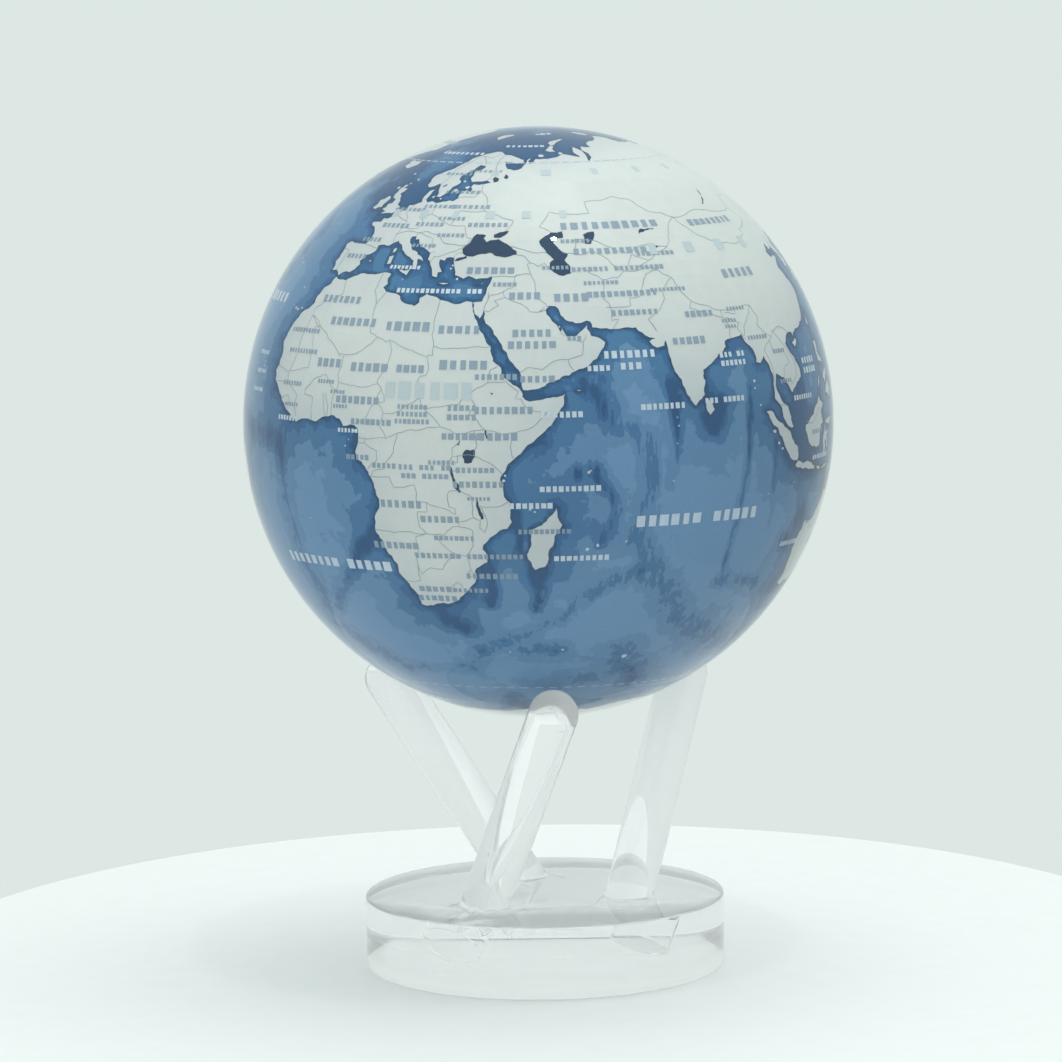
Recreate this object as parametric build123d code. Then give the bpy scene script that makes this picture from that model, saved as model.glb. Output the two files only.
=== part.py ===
"""Desktop globe that turns by itself inside a clear ball, resting on three clear rods in a clear disc.

Millimetres. +Z is up and the origin is the centre of the disc's underside. Inside the ball, heights are
measured from the ball's own centre, and globe_place moves them up to it.
"""

from build123d import *
from math import cos, pi, radians, sin, sqrt, tan
import os

# ---------------------------------------------------------------- driving dimensions
# Ball: a clear shell, a thin film of liquid, and the printed globe that floats in it.
BALL_DIAMETER = 152.4
SHELL_WALL = 1.6
FLUID_GAP = 1.0
GLOBE_WALL = 1.6
LAP_HEIGHT = 2.0            # overlap of the stepped joint where two half shells meet
SPIN_CLEARANCE = 0.3        # between the liquid's solid and the turning globe
PLUG_RADIUS = 3.0
SEAL_WIDTH = 0.5

# Stand: a thick disc with three slanted blind sockets, and a domed rod in each.
BASE_DIAMETER = 93.6
BASE_THICKNESS = 18.6
BASE_EDGE = 0.4
ROD_DIAMETER = 12.7
SOCKET_DEPTH = 12.5         # along the rod
SOCKET_CLEARANCE = 0.1
FOOT_CIRCLE = 22.7          # radius of the rods' centres where they leave the disc
DOME_CIRCLE = 45.2          # radius of the domes' centres
ROD_TWIST = 46.5            # degrees from a rod's foot to its dome, about the vertical
BALL_OVER_BASE = 123.3      # ball's centre above the disc's top
CRADLE_GAP = 0.3            # between the ball and each dome
ROD_DIRECTIONS = {"leg_front": -86.5, "leg_right": 33.5, "leg_left": 153.5}

# Drive carrier inside the globe.
PLATE_THICKNESS = 3.0
RING_OUTER = 70.0
RING_INNER = 58.0
HUB_PLATE_RADIUS = 29.0
SPOKE_WIDTH = 12.0
SPOKE_INSET = 2.0           # from a spoke's end to the ring's edge
BOSS_CIRCLE = 64.0
BOSS_DIRECTIONS = (45, 135, 225, 315)
BOSS_RADIUS = 4.0
BOSS_DEPTH = 45.0           # how far down a boss is drawn before the wall cuts it off
SCREW_RADIUS = 1.4          # small self-tapping screws
SCREW_HEAD_RADIUS = 2.6
SCREW_HEAD_HEIGHT = 1.6
SCREW_SLOT_WIDTH = 0.6
SCREW_SLOT_DEPTH = 0.8
SCREW_LENGTH = 12.0
SCREW_CLEARANCE = 0.2

# Solar cells on a hollow pyramid that stands on the carrier.
HOUSING_BASE = 84.0
HOUSING_TOP = 36.0
HOUSING_HEIGHT = 40.0
HOUSING_WALL = 2.0
CELL_WIDTH = 34.0
CELL_HEIGHT = 40.0
CELL_THICKNESS = 0.8
CELL_BAR_WIDTH = 0.6        # raised contact bars on a cell's face
CELL_BAR_HEIGHT = 0.1
CELL_BAR_INSET = 1.0        # from a bar's end to the cell's edge
CELL_BARS = 3

# Coils, brushes and the magnet that keeps its heading.
COIL_COUNT = 3
COIL_CIRCLE = 18.0
COIL_RADIUS = 9.5
COIL_CORE = 3.5
COIL_HEIGHT = 6.0
FLANGE = 0.8
WINDING_INSET = 0.5         # the winding stays this far inside the flanges' rims
SHAFT_RADIUS = 1.0
RUNNING_CLEARANCE = 0.03
SHAFT_TOP = -0.8
JEWEL_RADIUS = 2.5
JEWEL_HEIGHT = 1.6
CUP_HEIGHT = 2.4
CUP_BORE = 1.2
HUB_BOSS_RADIUS = 6.0
HUB_BOSS_HEIGHT = 3.0
COMMUTATOR_RADIUS = 3.0
COMMUTATOR_HEIGHT = 5.0
COMMUTATOR_TOP = -4.0
COMMUTATOR_SLOT = 0.4
COMMUTATOR_SLOT_DEPTH = 1.2
BRUSH_THICKNESS = 0.2
BRUSH_HEIGHT = 2.0
BRUSH_LENGTH = 13.0
BRUSH_GAP = 0.05
BRUSH_DIRECTION = 30.0
BLOCK_SIZE = (6.0, 9.0, 6.0)
BLOCK_RADIUS = 12.0
MAGNET_SIZE = (44.0, 12.0, 8.0)
MAGNET_TOP = -14.0
MAGNET_EDGE = 0.6
COLLAR_RADIUS = 3.0
COLLAR_FLANGE_RADIUS = 5.0
COLLAR_FLANGE = 1.5
BRIDGE_SPAN = 30.0          # from the axis to each post's middle
BRIDGE_WIDTH = 12.0
BRIDGE_POST = 6.0
BRIDGE_DEPTH = 31.0         # from the plate's underside to the bridge bar's underside
BRIDGE_BAR = 3.0

# Ballast that makes the globe float level, and its screw.
BALLAST_TOP = -46.0
BALLAST_BOSS_RADIUS = 5.0
BALLAST_BOSS_HEIGHT = 8.0
BALLAST_SCREW_RADIUS = 2.0
BALLAST_HEAD_RADIUS = 4.0
BALLAST_HEAD_HEIGHT = 3.0
BALLAST_SLOT_WIDTH = 1.0
BALLAST_SLOT_DEPTH = 1.2

# Two insulated leads from the cells to the brush block.
LEAD_RADIUS = 0.6
LEAD_HOLE_RADIUS = 4.0
LEAD_HOLE_CIRCLE = 21.0
LEAD_OFFSET = 1.4           # from the middle between the two leads to each one
LEAD_ENTRY = -6.0           # height at which both enter the brush block
# Distance from the axis, spread beyond LEAD_OFFSET, and height, from the cells down through the hole.
LEAD_ROUTE = [(24.0, 5.0, 22.0), (23.6, 3.0, 13.0), (22.6, 1.0, 4.0), (21.2, 0.0, LEAD_ENTRY)]
BEND_SHARE = 0.45           # of the shorter run beside a bend, taken up by its arc

# ---------------------------------------------------------------- worked-out places
BALL_RADIUS = BALL_DIAMETER / 2
SHELL_INNER = BALL_RADIUS - SHELL_WALL
GLOBE_RADIUS = SHELL_INNER - FLUID_GAP
GLOBE_INNER = GLOBE_RADIUS - GLOBE_WALL
ROD_RADIUS = ROD_DIAMETER / 2
BALL_HEIGHT = BASE_THICKNESS + BALL_OVER_BASE
PLATE_TOP = 0.0
PLATE_BOTTOM = -PLATE_THICKNESS
BRIDGE_TOP = PLATE_BOTTOM - BRIDGE_DEPTH + BRIDGE_BAR
SHAFT_BOTTOM = BRIDGE_TOP - CUP_BORE + RUNNING_CLEARANCE
BIG = 4 * BALL_RADIUS

globe_place = Location((0, 0, BALL_HEIGHT))


# ---------------------------------------------------------------- small helpers
def upright(radius, bottom, top, at=(0, 0)):
    """A vertical cylinder between two heights."""
    made = Cylinder(radius, top - bottom, align=(Align.CENTER, Align.CENTER, Align.MIN))
    return Pos(at[0], at[1], bottom) * made


def block(size, bottom, at=(0, 0)):
    """A box standing on a height, centred over a point."""
    return Pos(at[0], at[1], bottom) * Box(*size, align=(Align.CENTER, Align.CENTER, Align.MIN))


def slab(bottom, top):
    """All space between two heights, for cutting."""
    return block((BIG, BIG, top - bottom), bottom)


def polar(radius, direction):
    """A point in plan, from a radius and a direction in degrees."""
    return radius * cos(radians(direction)), radius * sin(radians(direction))


def spherical_wall(outer, inner):
    return Sphere(outer) - Sphere(inner)


def as_node(shapes):
    """Several loose solids as one node's compound."""
    return Compound(children=list(shapes))


# ---------------------------------------------------------------- stand
def rod_points(direction):
    """A rod's foot on the disc's top, and its dome's centre under the ball."""
    foot = (*polar(FOOT_CIRCLE, direction - ROD_TWIST), BASE_THICKNESS)
    reach = BALL_RADIUS + CRADLE_GAP + ROD_RADIUS
    dome = (*polar(DOME_CIRCLE, direction), BALL_HEIGHT - sqrt(reach**2 - DOME_CIRCLE**2))
    return Vector(*foot), Vector(*dome)


def rod_plane(direction):
    """A plane at the socket's floor, facing up the rod, and the length from it to the dome's centre."""
    foot, dome = rod_points(direction)
    along = (dome - foot).normalized()
    floor = foot - along * SOCKET_DEPTH
    return Plane(origin=floor, z_dir=along), (dome - floor).length


def leg(direction):
    """A rod cut square at the foot and domed at the top."""
    plane, length = rod_plane(direction)
    with BuildPart() as made:
        with BuildSketch(Plane.XZ):
            with BuildLine():
                Polyline((0, length + ROD_RADIUS), (0, 0), (ROD_RADIUS, 0), (ROD_RADIUS, length))
                CenterArc((0, length), ROD_RADIUS, 0, 90)
            make_face()
        revolve(axis=Axis.Z)
    return plane * made.part


def socket(direction):
    plane, length = rod_plane(direction)
    return plane * Cylinder(
        ROD_RADIUS + SOCKET_CLEARANCE, length, align=(Align.CENTER, Align.CENTER, Align.MIN)
    )


def base_disc():
    disc = upright(BASE_DIAMETER / 2, 0, BASE_THICKNESS)
    disc = chamfer(disc.edges().filter_by(GeomType.CIRCLE), BASE_EDGE)
    for direction in ROD_DIRECTIONS.values():
        disc -= socket(direction)
    return disc


# ---------------------------------------------------------------- ball and globe shells
def half_shells(outer, inner):
    """Upper and lower halves of a spherical wall, joined by a half-thickness lap at the middle."""
    wall = spherical_wall(outer, inner)
    lap = spherical_wall((outer + inner) / 2, inner) & slab(0, LAP_HEIGHT)
    upper = (wall & slab(0, BIG)) - lap
    lower = (wall & slab(-BIG, 0)) + lap
    return upper, lower


def ball_shells():
    upper, lower = half_shells(BALL_RADIUS, SHELL_INNER)
    return upper, lower - upright(PLUG_RADIUS + SEAL_WIDTH, -BIG, 0)


def in_wall(shape):
    """The part of a shape that lies in the ball's wall."""
    return shape & spherical_wall(BALL_RADIUS, SHELL_INNER)


def fill_plug():
    return in_wall(upright(PLUG_RADIUS, -BALL_RADIUS, -BALL_RADIUS / 2))


def plug_seal():
    ring = upright(PLUG_RADIUS + SEAL_WIDTH, -BALL_RADIUS, -BALL_RADIUS / 2)
    return in_wall(ring - upright(PLUG_RADIUS, -BIG, 0))


def fluid_layer():
    return spherical_wall(SHELL_INNER, GLOBE_RADIUS + SPIN_CLEARANCE)


def globe_shells():
    """The printed halves. The lower one carries the bosses for the carrier and the ballast."""
    upper, lower = half_shells(GLOBE_RADIUS, GLOBE_INNER)
    inside = Sphere((GLOBE_RADIUS + GLOBE_INNER) / 2)
    for at in boss_points():
        lower += upright(BOSS_RADIUS, -BOSS_DEPTH, PLATE_BOTTOM, at) & inside
        lower -= upright(SCREW_RADIUS, PLATE_BOTTOM - SCREW_LENGTH, PLATE_BOTTOM, at)
    floor = -GLOBE_INNER
    lower += upright(BALLAST_BOSS_RADIUS, -BIG, floor + BALLAST_BOSS_HEIGHT) & inside
    lower -= upright(BALLAST_SCREW_RADIUS, floor, floor + BALLAST_BOSS_HEIGHT)
    return upper, lower


# ---------------------------------------------------------------- carrier and solar cells
def bridge_points():
    return [(-BRIDGE_SPAN, 0), (BRIDGE_SPAN, 0)]


def boss_points():
    return [polar(BOSS_CIRCLE, direction) for direction in BOSS_DIRECTIONS]


def carrier_plate():
    """Ring, spokes and hub plate, with the seat for the upper jewel."""
    plate = upright(RING_OUTER, PLATE_BOTTOM, PLATE_TOP) - upright(RING_INNER, PLATE_BOTTOM, PLATE_TOP)
    for turn in (0, 90):
        arm = block((2 * (RING_OUTER - SPOKE_INSET), SPOKE_WIDTH, PLATE_THICKNESS), PLATE_BOTTOM)
        plate += Rot(0, 0, turn) * arm
    plate += upright(HUB_PLATE_RADIUS, PLATE_BOTTOM, PLATE_TOP)
    plate += upright(HUB_BOSS_RADIUS, PLATE_TOP, PLATE_TOP + HUB_BOSS_HEIGHT)
    plate -= upright(JEWEL_RADIUS, PLATE_BOTTOM, PLATE_BOTTOM + JEWEL_HEIGHT)
    plate -= upright(SHAFT_RADIUS + SCREW_CLEARANCE, PLATE_BOTTOM, PLATE_TOP)
    for at in boss_points() + bridge_points():
        plate -= upright(SCREW_RADIUS + SCREW_CLEARANCE, PLATE_BOTTOM, PLATE_TOP, at)
    plate -= upright(LEAD_HOLE_RADIUS, PLATE_BOTTOM, PLATE_TOP, polar(LEAD_HOLE_CIRCLE, BRUSH_DIRECTION))
    return plate


def screw(at, top, length):
    """A pan-head screw whose head rests on a height."""
    shank = upright(SCREW_RADIUS, top - length, top, at)
    head = upright(SCREW_HEAD_RADIUS, top, top + SCREW_HEAD_HEIGHT, at)
    slot_size = (2 * SCREW_HEAD_RADIUS, SCREW_SLOT_WIDTH, SCREW_SLOT_DEPTH)
    slot = block(slot_size, top + SCREW_HEAD_HEIGHT - SCREW_SLOT_DEPTH, at)
    return shank + head - slot


def frame_screws():
    return as_node(screw(at, PLATE_TOP, SCREW_LENGTH) for at in boss_points())


def bridge_screws():
    return as_node(screw(at, PLATE_TOP, SCREW_LENGTH) for at in bridge_points())


def pyramid(base, top, height):
    """A square frustum standing on the carrier."""
    foot = Plane.XY * Rectangle(base, base)
    head = Plane.XY.offset(height) * Rectangle(top, top)
    return loft([foot.face(), head.face()])


def cell_housing():
    thinner = 2 * HOUSING_WALL
    walls = pyramid(HOUSING_BASE, HOUSING_TOP, HOUSING_HEIGHT)
    walls -= pyramid(HOUSING_BASE - thinner, HOUSING_TOP - thinner, HOUSING_HEIGHT)
    return walls


def cell_plane(turn):
    """The middle of one of the housing's slopes, with its normal outwards and its Y up the slope."""
    middle = (HOUSING_BASE + HOUSING_TOP) / 4
    run = (HOUSING_BASE - HOUSING_TOP) / 2
    slope = Vector(-run, 0, HOUSING_HEIGHT).normalized()
    outward = Vector(HOUSING_HEIGHT, 0, run).normalized()
    face = Plane(origin=(middle, 0, HOUSING_HEIGHT / 2), x_dir=slope.cross(outward), z_dir=outward)
    return Plane(Rot(0, 0, turn) * face.location)


def solar_cell(turn):
    """A thin cell with raised contact bars on its face."""
    low = (Align.CENTER, Align.CENTER, Align.MIN)
    cell = Box(CELL_WIDTH, CELL_HEIGHT, CELL_THICKNESS, align=low)
    pitch = CELL_WIDTH / CELL_BARS
    for number in range(CELL_BARS):
        across = (number - (CELL_BARS - 1) / 2) * pitch
        bar = Box(CELL_BAR_WIDTH, CELL_HEIGHT - 2 * CELL_BAR_INSET, CELL_BAR_HEIGHT, align=low)
        cell += Pos(across, 0, CELL_THICKNESS) * bar
    return cell_plane(turn) * cell


# ---------------------------------------------------------------- drive
def coil_directions():
    return [90 + 360 / COIL_COUNT * number for number in range(COIL_COUNT)]


def coil_formers():
    """A spool under the hub plate for each coil."""
    bottom = PLATE_BOTTOM - COIL_HEIGHT
    made = []
    for direction in coil_directions():
        at = polar(COIL_CIRCLE, direction)
        spool = upright(COIL_CORE, bottom, PLATE_BOTTOM, at)
        spool += upright(COIL_RADIUS, bottom, bottom + FLANGE, at)
        spool += upright(COIL_RADIUS, PLATE_BOTTOM - FLANGE, PLATE_BOTTOM, at)
        made.append(spool)
    return as_node(made)


def drive_coils():
    """The windings between the spools' flanges."""
    bottom, top = PLATE_BOTTOM - COIL_HEIGHT + FLANGE, PLATE_BOTTOM - FLANGE
    made = []
    for direction in coil_directions():
        at = polar(COIL_CIRCLE, direction)
        winding = upright(COIL_RADIUS - WINDING_INSET, bottom, top, at)
        made.append(winding - upright(COIL_CORE, bottom, top, at))
    return as_node(made)


def brush_block():
    at = (BLOCK_RADIUS, 0)
    return Rot(0, 0, BRUSH_DIRECTION) * block(BLOCK_SIZE, PLATE_BOTTOM - BLOCK_SIZE[2], at)


def brushes():
    """Two leaves from the block that graze the commutator's sides."""
    middle = COMMUTATOR_TOP - COMMUTATOR_HEIGHT / 2
    start = BLOCK_RADIUS - BLOCK_SIZE[0] / 2 - BRUSH_LENGTH / 2
    offset = COMMUTATOR_RADIUS + BRUSH_GAP + BRUSH_THICKNESS / 2
    leaf = (BRUSH_LENGTH, BRUSH_THICKNESS, BRUSH_HEIGHT)
    turn = Rot(0, 0, BRUSH_DIRECTION)
    return as_node(
        turn * block(leaf, middle - BRUSH_HEIGHT / 2, (start, side * offset)) for side in (-1, 1)
    )


def jewel_ring():
    """The upper jewel, a plain ring round the shaft."""
    ring = upright(JEWEL_RADIUS, PLATE_BOTTOM, PLATE_BOTTOM + JEWEL_HEIGHT)
    return ring - upright(SHAFT_RADIUS + RUNNING_CLEARANCE, PLATE_BOTTOM, PLATE_TOP)


def jewel_cup():
    """The lower jewel, a cup that carries the shaft's end."""
    cup = upright(JEWEL_RADIUS, BRIDGE_TOP - CUP_HEIGHT, BRIDGE_TOP)
    return cup - upright(SHAFT_RADIUS + RUNNING_CLEARANCE, BRIDGE_TOP - CUP_BORE, BRIDGE_TOP)


def bearing_bridge():
    """A U-shaped bracket under the hub plate that holds the lower jewel."""
    bar_bottom = PLATE_BOTTOM - BRIDGE_DEPTH
    bar_length = 2 * BRIDGE_SPAN + BRIDGE_POST
    bridge = block((bar_length, BRIDGE_WIDTH, BRIDGE_BAR), bar_bottom)
    for at in bridge_points():
        bridge += block((BRIDGE_POST, BRIDGE_WIDTH, BRIDGE_DEPTH), bar_bottom, at)
        bridge -= upright(SCREW_RADIUS, PLATE_BOTTOM - SCREW_LENGTH, PLATE_BOTTOM, at)
    return bridge - upright(JEWEL_RADIUS, BRIDGE_TOP - CUP_HEIGHT, BRIDGE_TOP)


def magnet_shaft():
    return upright(SHAFT_RADIUS, SHAFT_BOTTOM, SHAFT_TOP)


def commutator():
    """A slotted two-segment ring on the shaft, above the magnet."""
    bottom = COMMUTATOR_TOP - COMMUTATOR_HEIGHT
    drum = upright(COMMUTATOR_RADIUS, bottom, COMMUTATOR_TOP) - upright(SHAFT_RADIUS, bottom, COMMUTATOR_TOP)
    for side in (-1, 1):
        slot = (COMMUTATOR_SLOT_DEPTH, COMMUTATOR_SLOT, COMMUTATOR_HEIGHT)
        drum -= block(slot, bottom, (side * COMMUTATOR_RADIUS, 0))
    return drum


def compass_magnet():
    """A bar magnet, clamped on a collar."""
    bottom = MAGNET_TOP - MAGNET_SIZE[2]
    bar = block(MAGNET_SIZE, bottom)
    bar = chamfer(bar.edges().filter_by(Axis.Z), MAGNET_EDGE)
    return bar - upright(COLLAR_RADIUS, bottom, MAGNET_TOP)


def magnet_collar():
    """A flanged brass bush between the shaft and the magnet."""
    bottom = MAGNET_TOP - MAGNET_SIZE[2]
    collar = upright(COLLAR_RADIUS, bottom - COLLAR_FLANGE, MAGNET_TOP)
    collar += upright(COLLAR_FLANGE_RADIUS, bottom - COLLAR_FLANGE, bottom)
    return collar - upright(SHAFT_RADIUS, bottom - COLLAR_FLANGE, MAGNET_TOP)


# ---------------------------------------------------------------- ballast
def ballast_weight():
    """A cap of brass in the bottom of the globe, round the moulded boss."""
    floor = -GLOBE_INNER
    weight = Sphere(GLOBE_INNER) & slab(-BIG, BALLAST_TOP)
    weight -= upright(BALLAST_BOSS_RADIUS, -BIG, floor + BALLAST_BOSS_HEIGHT)
    weight -= upright(BALLAST_SCREW_RADIUS + SCREW_CLEARANCE, -BIG, BALLAST_TOP)
    return weight - upright(BALLAST_HEAD_RADIUS + SCREW_CLEARANCE, BALLAST_TOP - BALLAST_HEAD_HEIGHT, 0)


def ballast_screw():
    head_bottom = BALLAST_TOP - BALLAST_HEAD_HEIGHT
    shank = upright(BALLAST_SCREW_RADIUS, SCREW_CLEARANCE - GLOBE_INNER, head_bottom)
    head = upright(BALLAST_HEAD_RADIUS, head_bottom, BALLAST_TOP)
    slot_size = (2 * BALLAST_HEAD_RADIUS, BALLAST_SLOT_WIDTH, BALLAST_SLOT_DEPTH)
    slot = block(slot_size, BALLAST_TOP - BALLAST_SLOT_DEPTH)
    return shank + head - slot


# ---------------------------------------------------------------- leads
def lead(side):
    """One insulated wire from inside the housing, through the plate's hole, to the brush block's top."""
    turn = radians(BRUSH_DIRECTION)
    block_face = BLOCK_RADIUS + BLOCK_SIZE[0] / 2

    def place(along, across, height):
        return (
            along * cos(turn) - across * sin(turn),
            along * sin(turn) + across * cos(turn),
            height,
        )

    points = [place(along, side * (LEAD_OFFSET + spread), height) for along, spread, height in LEAD_ROUTE]
    points.append(place(block_face, side * LEAD_OFFSET, LEAD_ENTRY))
    radii = bend_radii(points)
    path = FilletPolyline(*points, radius=radii)
    start = Plane(origin=path @ 0, z_dir=path % 0)
    tube = sweep(start * Circle(LEAD_RADIUS), path=path)
    straight = pi * LEAD_RADIUS**2 * path.length
    share = tube.volume / straight
    print("lead radii", [round(r, 1) for r in radii], "volume share", round(share, 3))
    return tube


def bend_radii(points):
    """For each inner corner, the largest radius that its two runs allow."""
    radii = []
    for before, corner, after in zip(points, points[1:], points[2:]):
        arrive = Vector(*corner) - Vector(*before)
        leave = Vector(*after) - Vector(*corner)
        half_turn = radians(arrive.get_angle(leave)) / 2
        radii.append(BEND_SHARE * min(arrive.length, leave.length) / tan(half_turn))
    return radii


# ---------------------------------------------------------------- write every node
def all_nodes():
    shell_upper, shell_lower = ball_shells()
    globe_upper, globe_lower = globe_shells()
    nodes = {"base_disc": base_disc()}
    for name, direction in ROD_DIRECTIONS.items():
        nodes[name] = leg(direction)
    in_ball = {
        "outer_shell_upper": shell_upper,
        "outer_shell_lower": shell_lower,
        "fill_plug": fill_plug(),
        "plug_seal": plug_seal(),
        "fluid_layer": fluid_layer(),
        "inner_globe_upper": globe_upper,
        "inner_globe_lower": globe_lower,
        "carrier_plate": carrier_plate(),
        "frame_screws": frame_screws(),
        "cell_housing": cell_housing(),
        "coil_formers": coil_formers(),
        "drive_coils": drive_coils(),
        "brush_block": brush_block(),
        "brushes": brushes(),
        "upper_jewel": jewel_ring(),
        "lower_jewel": jewel_cup(),
        "bearing_bridge": bearing_bridge(),
        "bridge_screws": bridge_screws(),
        "magnet_shaft": magnet_shaft(),
        "commutator": commutator(),
        "compass_magnet": compass_magnet(),
        "magnet_collar": magnet_collar(),
        "ballast_weight": ballast_weight(),
        "ballast_screw": ballast_screw(),
        "lead_positive": lead(1),
        "lead_negative": lead(-1),
    }
    for number in range(4):
        in_ball[f"solar_cell_{number + 1}"] = solar_cell(90 * number)
    for name, shape in in_ball.items():
        nodes[name] = globe_place * shape
    return nodes


os.makedirs("parts", exist_ok=True)
for node_name, node_shape in all_nodes().items():
    export_step(node_shape, f"parts/{node_name}.step")
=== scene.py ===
import random
from math import asin, cos, degrees, exp, pi, radians, sin, sqrt
import bmesh
import bpy
import numpy as np
from mathutils import Matrix, Vector
from mathutils.kdtree import KDTree


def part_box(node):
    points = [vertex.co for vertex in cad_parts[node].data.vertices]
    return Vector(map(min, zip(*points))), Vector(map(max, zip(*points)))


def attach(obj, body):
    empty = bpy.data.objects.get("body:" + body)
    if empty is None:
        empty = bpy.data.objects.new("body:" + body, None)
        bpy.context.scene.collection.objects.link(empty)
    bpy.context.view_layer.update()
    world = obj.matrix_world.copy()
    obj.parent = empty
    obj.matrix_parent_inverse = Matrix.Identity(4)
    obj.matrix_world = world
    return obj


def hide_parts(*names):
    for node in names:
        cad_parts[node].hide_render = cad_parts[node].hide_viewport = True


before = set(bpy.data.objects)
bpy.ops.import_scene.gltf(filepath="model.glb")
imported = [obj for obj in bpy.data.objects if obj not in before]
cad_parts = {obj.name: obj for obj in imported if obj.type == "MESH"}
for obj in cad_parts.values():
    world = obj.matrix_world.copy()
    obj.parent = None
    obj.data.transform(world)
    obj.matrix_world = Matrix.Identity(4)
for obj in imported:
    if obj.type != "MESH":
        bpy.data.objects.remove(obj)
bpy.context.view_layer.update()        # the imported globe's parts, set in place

print("stage 1: frame loaded")

# Sizes from the frame, in metres
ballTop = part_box("outer_shell_upper")[1]
ballRadius = ballTop.x
centre = Vector((0, 0, ballTop.z - ballRadius))
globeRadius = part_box("inner_globe_upper")[1].z - centre.z
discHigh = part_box("base_disc")[1]
discTop = discHigh.z
discRadius = discHigh.x
tiny = 1e-6   # a length too small to see
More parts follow.
